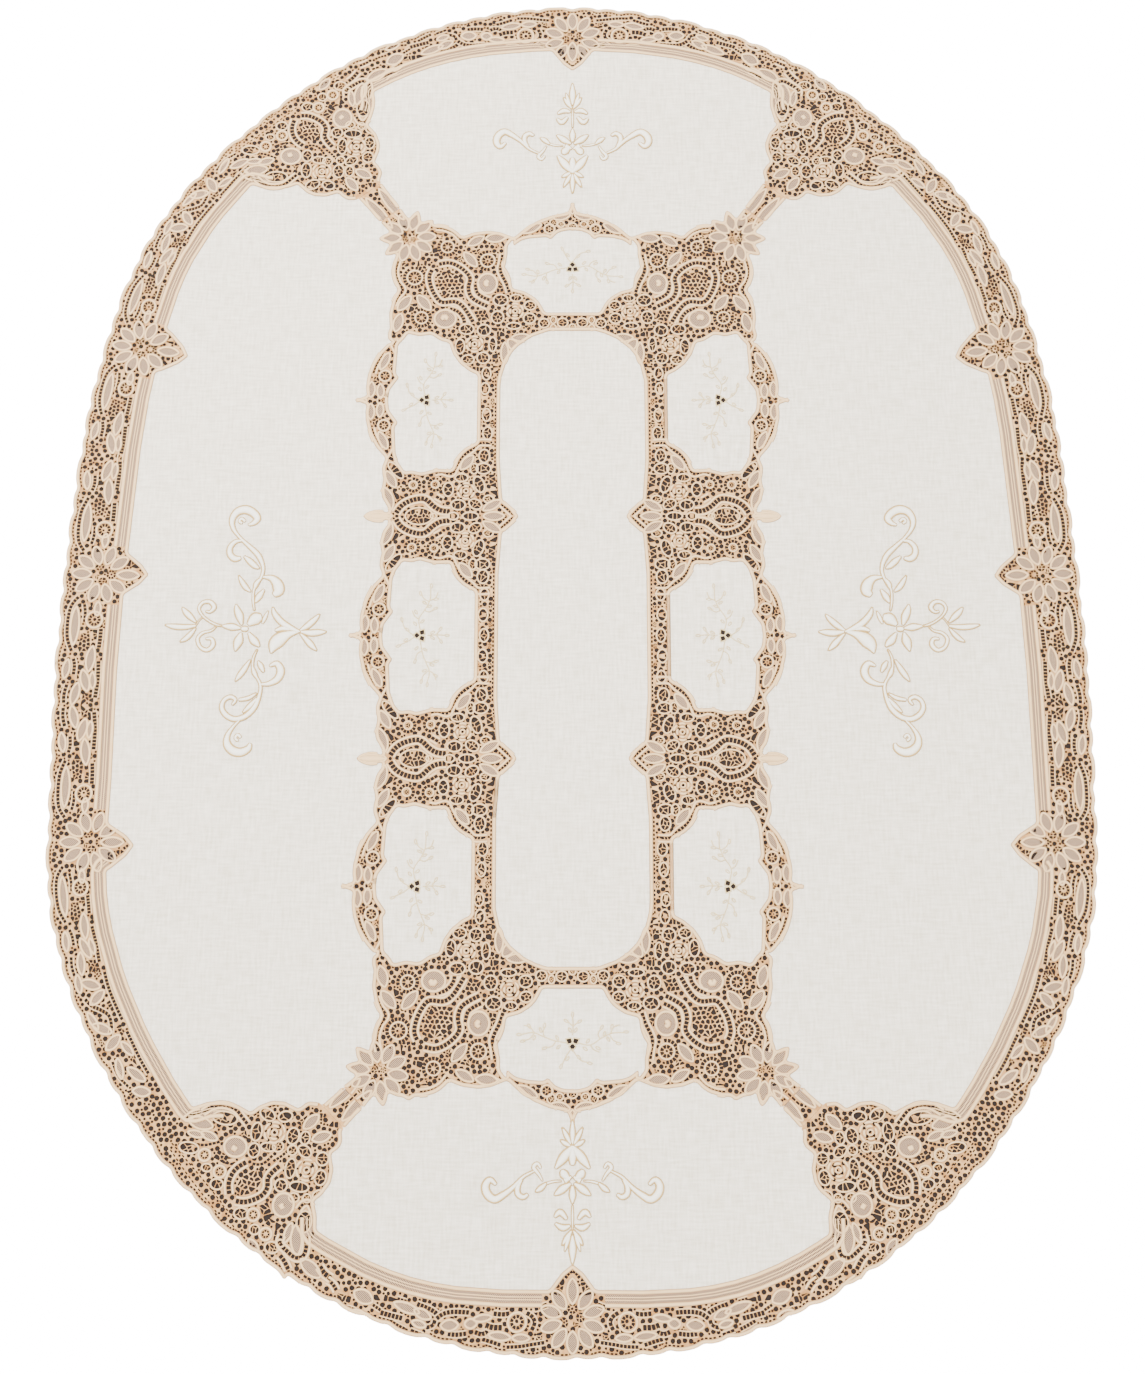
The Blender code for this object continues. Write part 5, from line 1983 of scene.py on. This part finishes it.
# ---- linen and embroidery ----
WIDE_CREASES = rows(
    Crease,
    (-110, 206, 110, 206, 14, 0.5), (-110, -206, 110, -206, 14, 0.5), (0, -500, 0, 500, 26, 0.3),
    (-640, 20, -360, 60, 18, 0.4), (620, -60, 360, -20, 18, 0.4), (-600, 420, -420, 250, 20, 0.5),
    (600, 400, 430, 240, 20, 0.5), (-560, -420, -400, -260, 20, 0.4), (580, -440, 420, -260, 20, 0.5),
    (-180, 1010, -60, 800, 16, 0.5), (200, 1000, 70, 800, 16, 0.5), (-200, -940, -80, -780, 16, 0.4),
    (190, -950, 60, -790, 16, 0.5), (-330, 780, -180, 900, 16, 0.5), (340, 790, 190, 890, 16, 0.5),
    (-430, 640, -330, 520, 20, 0.6), (430, 640, 330, 520, 20, 0.6),
)
# Narrow ones across the insets, mirrored left and right, and all but one far and near.
INSET_CREASES = rows(
    Crease, (238, 300, 232, 350, 7, 1.1), (256, 296, 262, 352, 6, 0.9), (274, 300, 284, 346, 6, 0.8),
    (238, 118, 234, 70, 7, 1.0), (258, 120, 262, 66, 6, 0.9))
CREASES = WIDE_CREASES + tuple(
    row._replace(x0=row.x0 * side_x, x1=row.x1 * side_x, y0=row.y0 * side_y, y1=row.y1 * side_y)
    for row in INSET_CREASES for side_x in SIGNS for side_y in SIGNS if side_y > 0 or row.x0 != 274)
LINEN_BASE = 0.75
LINEN_STEP = 9.0
# The height of a crease of height 1.
CREASE_LIFT = 3.6
# Creases narrower than this have a finer mesh: this many places along them, and the steps across.
FINE_CREASE = 8
FINE_ALONG, FINE_ACROSS, FINE_STEP = 26, range(-5, 6), 2.2
# How far the linen runs under the lace, and over what distance it sinks to its seam.
UNDERLAP = 5.0
SEAM_SINK = 14.0
# How much wider than its node's, and how much nearer the trefoil's middle, a hole is; and its rim's width.
PETAL_GROWTH, PETAL_DRAWN = 1.28, 0.2
EYELET_RIM = 2.0


@dataclass
class LinenPiece:
    """One linen panel: a thin sheet with soft creases, whose edge runs under the lace."""

    chart: Chart
    name: str
    cloth: bpy.types.Material

    def trefoil(self) -> Point:
        """Middle of the panel's pierced trefoil."""
        x, y = np.mean([centroid(loop) for loop in self.chart.loops(self.name)[1:]], axis=0)
        return float(x), float(y)

    def holes(self) -> list[Loop]:
        """The panel's holes as they are cut in the cloth."""
        return [self.petal(loop) for loop in self.chart.loops(self.name)[1:]]

    def petal(self, loop: Loop) -> Loop:
        """A hole of the trefoil, worn wider and nearer its middle."""
        middle, (x, y) = self.trefoil(), centroid(loop)
        dx, dy = (middle[0] - x) * PETAL_DRAWN, (middle[1] - y) * PETAL_DRAWN
        return [(x + dx + (px - x) * PETAL_GROWTH, y + dy + (py - y) * PETAL_GROWTH) for px, py in loop]

    def height(self, points: np.ndarray, outline: Loop) -> np.ndarray:
        """Height of the cloth at some points, in millimetres.

        Args:
            points: Places in the plane.
            outline: The panel's edge, where the cloth is held down.

        Returns:
            One height for each point.
        """
        x, y = points[:, 0], points[:, 1]
        lift = 0.16 * np.sin(x / 53.0 + 1.3 * np.sin(y / 131.0))
        lift += 0.14 * np.sin(y / 67.0 + 1.1 * np.sin(x / 97.0))
        for *ends, width, height in CREASES:
            away, share = from_step(points, *ends)
            fade = np.sin(pi * np.clip(share, 0.04, 0.96)) ** 0.5
            lift += CREASE_LIFT * height * np.exp(-(away / width) ** 2) * fade
        held = np.clip(clearance(points, outline) / SEAM_SINK, 0, 1)
        return LINEN_BASE + (lift + 0.3) * held * held * (3 - 2 * held)

    def fine_points(self) -> np.ndarray:
        """Further places for the mesh along the narrow creases, one a row."""
        places = []
        for row in CREASES:
            if row.width < FINE_CREASE:
                for k in range(FINE_ALONG):
                    t = k / (FINE_ALONG - 1)
                    x, y = row.x0 + (row.x1 - row.x0) * t, row.y0 + (row.y1 - row.y0) * t
                    places += [(x + j * FINE_STEP, y + 0.3 * j) for j in FINE_ACROSS]
        return np.asarray(places)

    def build(self) -> bpy.types.Object:
        """Builds the panel, which replaces its CAD node."""
        loops = self.chart.loops(self.name)
        outline = chaikin(loops[0], *EDGE_EASE)
        edge = offset(even_loop(outline, 5.0), -UNDERLAP, True)
        low, high = np.asarray(edge).min(axis=0), np.asarray(edge).max(axis=0)
        grid = np.r_[grid_points(low + 4, high, LINEN_STEP), self.fine_points()]
        grid = grid[inside(grid, edge)]
        grid = grid[clearance(grid, edge) > 3.0]
        holes = self.holes()
        corners, triangles, sources = partition([edge, *holes], [tuple(p) for p in grid])
        cut = set(range(1, 1 + len(holes)))
        places, faces = compact(
            corners, [t for t, held_by in zip(triangles, sources) if 0 in held_by and not held_by & cut])
        heights = self.height(places, outline)
        verts = [(*place, height) for place, height in zip(places.tolist(), heights.tolist())]
        piece = self.chart.mesh(f"{self.name}_cloth", verts, faces, [self.cloth])
        wear(piece, Slot.LINEN, self.name)
        log.info("%s: %d triangles", self.name, len(faces))
        return piece


# Satin shapes as (x, y, width) rows along their middle.
SIDE_SPRAY = (
    ((-546, 11, 6), (-541, 11, 9), (-536, 11, 6)),
    ((-546, 18, 3), (-550, 32, 12), (-555, 44, 9), (-557, 53, 1)),
    ((-535, 18, 6), (-524, 28, 20), (-514, 31, 10)),
    ((-548, 12, 3), (-560, 14, 11), (-570, 15, 8), (-579, 16, 1)),
    ((-547, 4, 3), (-550, -8, 14), (-553, -18, 10), (-555, -27, 1)),
    ((-534, 4, 3), (-526, -8, 12), (-520, -14, 9), (-516, -19, 2)),
    ((-496, 48, 1), (-492, 36, 8), (-480, 22, 10), (-464, 12, 8), (-450, 6, 3)),
    ((-496, -30, 2), (-491, -16, 20), (-482, -6, 22), (-468, 2, 12), (-452, 6, 3)),
    ((-490, 8, 4), (-478, 12, 8), (-462, 10, 6)), ((-503, 42, 1), (-508, 30, 6), (-512, 20, 2)),
    ((-450, 8, 2), (-438, 16, 9), (-426, 27, 8), (-418, 36, 1)),
    ((-448, 6, 3), (-432, 4, 10), (-418, 5, 9), (-406, 6, 1)),
    ((-449, 3, 2), (-438, -8, 8), (-430, -17, 9), (-421, -26, 1)),
    ((-579, 16, 2), (-588, 18, 3), (-600, 24, 3), (-612, 34, 3), (-618, 46, 4), (-612, 56, 5), (-600, 57, 6),
         (-593, 48, 7), (-599, 40, 4), (-606, 41, 3)),
    ((-588, 16, 2), (-596, 8, 3), (-610, 4, 4), (-618, -6, 5), (-613, -20, 5), (-601, -25, 6), (-592, -16, 7),
         (-595, -6, 5), (-604, -6, 3)),
    ((-600, 24, 2), (-612, 30, 2), (-622, 17, 2)),
    ((-622, 22, 2), (-632, 32, 9), (-640, 40, 8), (-646, 48, 1)),
    ((-622, 16, 3), (-640, 14, 8), (-658, 15, 8), (-673, 18, 1)),
    ((-622, 12, 2), (-630, 2, 7), (-638, -6, 7), (-647, -11, 1)),
    ((-526, 42, 2), (-529, 60, 3), (-528, 80, 3), (-517, 100, 4), (-515, 118, 5), (-524, 138, 8),
         (-540, 154, 6), (-555, 168, 4), (-567, 184, 6), (-570, 200, 9), (-562, 214, 12), (-548, 218, 14),
         (-535, 212, 13), (-528, 202, 11), (-534, 194, 7), (-542, 191, 3)),
    ((-548, 197, 4), (-554, 202, 5), (-558, 197, 4), (-553, 194, 4)),
    ((-555, 103, 1), (-549, 92, 7), (-542, 82, 8), (-534, 75, 2)),
    ((-528, 78, 2), (-525, 88, 8), (-518, 98, 3)), ((-525, 56, 2), (-520, 66, 10), (-512, 78, 3)),
    ((-514, 100, 3), (-500, 98, 10), (-490, 88, 17), (-488, 76, 18), (-495, 69, 8)),
    ((-547, 136, 2), (-538, 128, 9), (-528, 119, 8), (-521, 115, 1)),
    ((-550, 163, 2), (-562, 162, 6), (-571, 152, 8), (-571, 140, 9), (-563, 132, 10), (-553, 133, 5)),
    ((-519, -24, 2), (-525, -40, 3), (-524, -60, 3), (-512, -82, 4), (-512, -100, 5), (-520, -122, 8),
         (-535, -137, 8), (-552, -141, 8), (-566, -134, 8), (-573, -122, 7), (-570, -110, 6), (-560, -104, 6),
         (-551, -109, 5), (-556, -117, 3)),
    ((-540, -140, 3), (-553, -154, 4), (-562, -170, 8), (-561, -184, 12), (-551, -194, 14), (-538, -196, 13),
         (-527, -190, 10), (-524, -182, 4)),
    ((-540, -172, 4), (-545, -167, 5), (-549, -173, 4), (-544, -177, 4)),
    ((-512, -83, 3), (-498, -82, 7), (-484, -74, 11), (-479, -60, 12), (-486, -48, 9), (-497, -52, 3)),
    ((-530, -42, 2), (-538, -56, 8), (-546, -68, 8), (-553, -78, 1)),
    ((-517, -44, 2), (-512, -52, 8), (-507, -62, 3)), ((-526, -52, 2), (-522, -64, 7), (-516, -74, 2)),
    ((-517, -98, 2), (-530, -106, 6), (-545, -109, 4)), ((-514, -104, 2), (-526, -118, 8), (-538, -130, 2)),
)
FAR_SPRAY = (
    ((-3, 896, 3), (-14, 903, 11), (-22, 909, 8), (-28, 913, 1)), ((0, 900, 4), (0, 913, 10), (0, 926, 1)),
    ((-4, 890, 4), (-13, 882, 13), (-16, 876, 5)), ((-2, 886, 3), (-12, 892, 9)),
    ((0, 840, 3), (-8, 850, 12), (-16, 860, 13), (-26, 873, 3)), ((0, 842, 3), (0, 856, 12), (0, 868, 6)),
    ((0, 838, 2), (0, 820, 8), (0, 800, 1)), ((-2, 838, 2), (-9, 825, 7), (-16, 812, 1)),
    ((-3, 840, 2), (-11, 836, 7), (-19, 831, 1)), ((-26, 955, 3), (-15, 961, 9), (-4, 958, 3)),
    ((-27, 945, 3), (-19, 938, 9), (-9, 948, 4)), ((0, 928, 2), (0, 945, 3), (0, 964, 2)),
    ((-1, 965, 2), (-9, 976, 7), (-16, 987, 1)), ((-2, 964, 2), (-8, 982, 6), (-12, 996, 1)),
    ((0, 972, 2), (0, 992, 11), (0, 1015, 1)), ((-17, 892, 2), (-30, 893, 3), (-44, 897, 3)),
    ((-40, 895, 2), (-49, 903, 8), (-57, 908, 1)),
    ((-46, 892, 2), (-52, 882, 4), (-60, 872, 6), (-54, 866, 5), (-49, 873, 3)),
    ((-56, 876, 2), (-67, 881, 3), (-77, 887, 4), (-92, 902, 6), (-107, 913, 9), (-120, 919, 11),
         (-131, 911, 12), (-134, 899, 11), (-127, 890, 8), (-118, 897, 4)),
    ((-77, 889, 2), (-84, 900, 7), (-84, 911, 8), (-76, 916, 7), (-69, 912, 4)),
)
# How much nearer the middle the near spray lies than the far one.
NEAR_SPRAY_LIFT = 25.0
# The cord round a satin shape, which is thinner round shapes that are nowhere broader than this. Its dark tan
# is partly the cord's own colour and partly painted shadow round the raised satin.
CORD = 3.0
BROAD_SATIN = 6
# A thin sprig about a trefoil, its outward side to the left.
SPRIG_LEAF = (9.0, 3.6)
SPRIG_LEAVES = (
    (-9, 20, 130), (3, 24, 40), (-8, 40, 120), (14, 50, 20), (24, 46, 30), (6, 56, 150), (-1, 72, 100),
    (25, 62, 10), (17, 84, 90), (-6, -22, 230), (8, -24, -30), (-8, -44, 250), (20, -50, -20), (27, -44, 20),
    (8, -60, 200), (3, -78, 260), (26, -68, -30), (13, -84, 270), (-22, 10, 140), (-31, 27, 100),
    (-24, -8, 220), (-36, -18, 200), (20, 5, 30), (33, 11, 60), (34, -10, -60), (44, 0, 0), (20, -4, -30),
)
SPRIG_LINES = (
    ((0, 9), (-3, 28), (8, 46), (15, 62), (16, 80)), ((0, -9), (4, -30), (10, -46), (16, -62), (13, -80)),
    ((-9, 0), (-18, 5), (-27, 14), (-30, 25)), ((-9, -2), (-20, -10), (-33, -16)),
    ((12, 0), (28, 1), (41, 0)), ((-3, 28), (-10, 33), (-14, 42)), ((6, 43), (14, 40), (22, 45)),
    ((13, 58), (4, 64), (0, 74)), ((3, -26), (-5, -32), (-7, -42)), ((9, -44), (18, -46), (26, -42)),
    ((15, -60), (6, -68), (4, -78)), ((26, 1), (32, 9)), ((26, 1), (33, -8)), ((15, 60), (24, 64), (28, 74)),
    ((15, -60), (24, -66), (27, -76)),
)
SPRIG = tuple(
    tuple((x, y, 1.7) for x, y in line)
    for line in (*SPRIG_LINES, *(closed(lens(x, y, *SPRIG_LEAF, angle)) for x, y, angle in SPRIG_LEAVES)))


def beside(x: float, y: float) -> Place:
    """Places a sprig at a trefoil, outward from the cloth's middle."""
    if abs(x) < 50.0:
        return lambda p: (x + p[1], y - copysign(p[0], p[0] * y))
    return lambda p: (x - copysign(p[0], p[0] * x), y + p[1])


@dataclass
class Spray:
    """Padded satin embroidery on one linen field."""

    chart: Chart
    name: str
    shapes: Sequence[Sequence[tuple]]
    place: Place
    floss: tuple
    panel: LinenPiece

    def build(self) -> list[bpy.types.Object]:
        """Builds the raised shapes, and the cord round each, whose dark tan is partly painted shadow round
        the shape.
        """
        tapes, cords = [], []
        for shape in self.shapes:
            line = [(*self.place((x, y)), width) for x, y, width in smooth(shape, 2.6)]
            widest = max(row[2] for row in line)
            tapes.append(Tape(line, 1.0 + min(0.9, widest * 0.08)))
            rim = even(closed(swept(line)), 2.0)
            width = CORD if widest > BROAD_SATIN else CORD * 0.75
            cords.append(Tape([(x, y, width) for x, y in rim], 1.5))
        tapes += [Tape([(x, y, EYELET_RIM) for x, y in closed(even_loop(hole, 1.5))], 0.9)
                  for hole in self.panel.holes()]
        outline = self.chart.loops(self.panel.name)[0]
        made = []
        for ending, lines, finish in zip(("", "_cord"), (tapes, cords), self.floss):
            made.append(self.chart.ribbons(
                self.name + ending, lines, 0.06, finish, lambda points: self.panel.height(points, outline)))
            wear(made[-1], Slot.LINEN)
        log.info("%s: %d shapes", self.name, len(tapes))
        return made


# ---- stage ----
# The camera: its sensor and lens in millimetres, its tilt in degrees, its distance in metres, and its aim.
SENSOR, LENS = 36.0, 45.85153
CAMERA_TILT = 13.0
CAMERA_DISTANCE = 2.868
CAMERA_AIM_Y = -87.1
# The floor and the backing, in millimetres below the cloth.
FLOOR_DEPTH, FLOOR_REACH = 1.2, 6000.0
BACKING_DEPTH, BACKING_INSET = 0.5, 4.0
# Light: the floor's own glow, the sky's strength, and each lamp's place, side in metres and power in watts.
FLOOR_GLOW = 13.0
SKY = 2.35
LAMPS = {"key": ((-1.9, 1.9, 3.2), 2.4, 315.0), "fill": ((1.8, -1.6, 3.6), 3.0, 103.0)}


@dataclass
class Studio:
    """A pale floor, a brown cloth under the lace, soft light and the camera."""

    chart: Chart

    def floor(self) -> bpy.types.Object:
        """A pale floor."""
        corners = [(x * FLOOR_REACH, y * FLOOR_REACH) for x, y in ((-1, -1), (1, -1), (1, 1), (-1, 1))]
        paint = PaintedBoard("white_painted_floor", "#FFFFFF", glow=FLOOR_GLOW).material()
        return self.chart.mesh("floor", [(x, y, -FLOOR_DEPTH) for x, y in corners], [(0, 1, 2, 3)], [paint])

    def backing(self) -> bpy.types.Object:
        """A brown cloth below the tablecloth, a little smaller than it, that darkens the openings."""
        outline = chaikin(self.chart.loops("lace_border")[0])
        edge = offset(even_loop(outline, 6.0), BACKING_INSET, True)
        paint = PaintedBoard("brown_felt", "#1C0F07").material()
        verts = [(x, y, -BACKING_DEPTH) for x, y in edge]
        return self.chart.mesh("backing", verts, [tuple(range(len(edge)))], [paint])

    def light(self, name: str, place: tuple, size: float, energy: float) -> bpy.types.Object:
        """A soft square light that faces the cloth.

        Args:
            name: The light's name.
            place: Where it hangs, in metres.
            size: Its side, in metres.
            energy: Its power, in watts.

        Returns:
            The light.
        """
        lamp = bpy.data.lights.new(name, "AREA")
        lamp.size, lamp.energy = size, energy
        made = bpy.data.objects.new(name, lamp)
        made.location = place
        made.rotation_euler = (-Vector(place)).to_track_quat("-Z", "Y").to_euler()
        bpy.context.scene.collection.objects.link(made)
        return made

    def camera(self) -> None:
        """The camera, nearly straight above the cloth."""
        lens_data = bpy.data.cameras.new("camera")
        lens_data.sensor_fit = "VERTICAL"
        lens_data.sensor_height = SENSOR
        lens_data.lens = LENS
        camera = bpy.data.objects.new("camera", lens_data)
        tilt = radians(CAMERA_TILT)
        camera.location = (
            self.chart.shift_x,
            self.chart.shift_y + CAMERA_AIM_Y * MM - CAMERA_DISTANCE * sin(tilt),
            CAMERA_DISTANCE * cos(tilt))
        camera.rotation_euler = (tilt, 0.0, 0.0)
        bpy.context.scene.collection.objects.link(camera)
        bpy.context.scene.camera = camera

    def build(self) -> None:
        """Builds the stage."""
        self.floor()
        self.backing()
        for name, (place, size, energy) in LAMPS.items():
            self.light(name, place, size, energy)
        world = bpy.data.worlds.new("studio")
        world.use_nodes = True
        bpy.context.scene.world = world
        colour, strength = world.node_tree.nodes["Background"].inputs[:2]
        colour.default_value, strength.default_value = linear("#FFFFFF"), SKY
        self.camera()


# ---- the cloth ----
def main() -> None:
    """Builds the tablecloth piece by piece, and its stage."""
    logging.basicConfig(level=logging.INFO, format="%(name)s: %(message)s")
    low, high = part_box("linen_centre")
    chart = Chart((low.x + high.x) / 2, (low.y + high.y) / 2)
    grounds = (WorkedLace().material(), NetFilling().material(), TapeCotton().material())
    linen = PlainLinen().material()
    # The cord's colours are partly its own and partly painted shadow round the satin shapes.
    floss = (SatinStitch().material(), SatinStitch("twisted_ecru_cord", "#BD9856", "#7C5A28").material())
    fine = (SatinStitch("fine_buff_cord", "#DDC592", "#A8874C").material(),)

    bars = tuple(f"lace_bar_{k}" for k in range(1, 5))
    border_work = BorderChart(*chart.loops("lace_border")[:2]).work()
    pieces = [("lace_border", *LacePiece(chart, "lace_border", border_work, grounds, bars).build())]
    lattice_work = LatticeChart().work()
    pieces.append(("lace_lattice", *LacePiece(chart, "lace_lattice", lattice_work, grounds, bars).build()))
    for name in bars:
        ends = ("lace_border", "lace_lattice")
        pieces.append((name, *LacePiece(chart, name, lattice_work, grounds, ends).build()))

    panels = {name: LinenPiece(chart, name, linen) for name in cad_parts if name.startswith("linen")}
    cloths = {name: panel.build() for name, panel in panels.items()}

    off_middle = [shape for shape in FAR_SPRAY if any(x for x, _, _ in shape)]
    both = (*FAR_SPRAY, *(tuple((-x, y, width) for x, y, width in shape) for shape in off_middle))
    fields = {
        "left": (SIDE_SPRAY, flipped(1, 1)),
        "right": (SIDE_SPRAY, flipped(-1, 1)),
        "far": (both, flipped(1, 1)),
        "near": (both, flipped(1, -1, NEAR_SPRAY_LIFT)),
    }
    sprays = {}
    for side, (shapes, place) in fields.items():
        name = f"linen_field_{side}"
        sprays[name] = Spray(chart, f"spray_{side}", shapes, place, floss, panels[name]).build()
    for name, panel in panels.items():
        if name.startswith("linen_inset"):
            sprig = f"sprig_{name.removeprefix('linen_inset_')}"
            sprays[name] = Spray(chart, sprig, SPRIG, beside(*panel.trefoil()), fine, panel).build()

    for name, cloth in cloths.items():
        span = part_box(name)[1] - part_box(name)[0]
        min(surface(cloth), span.x * span.y)
        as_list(sprays.get(name, []))
    for name, ground, tapes in pieces:
        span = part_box(name)[1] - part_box(name)[0]
        if name in LACE_RUNS:
            run = LACE_RUNS[name]
            surface(ground) / run
        else:
            surface(ground)
    Studio(chart).build()


if __name__ == "__main__":
    main()
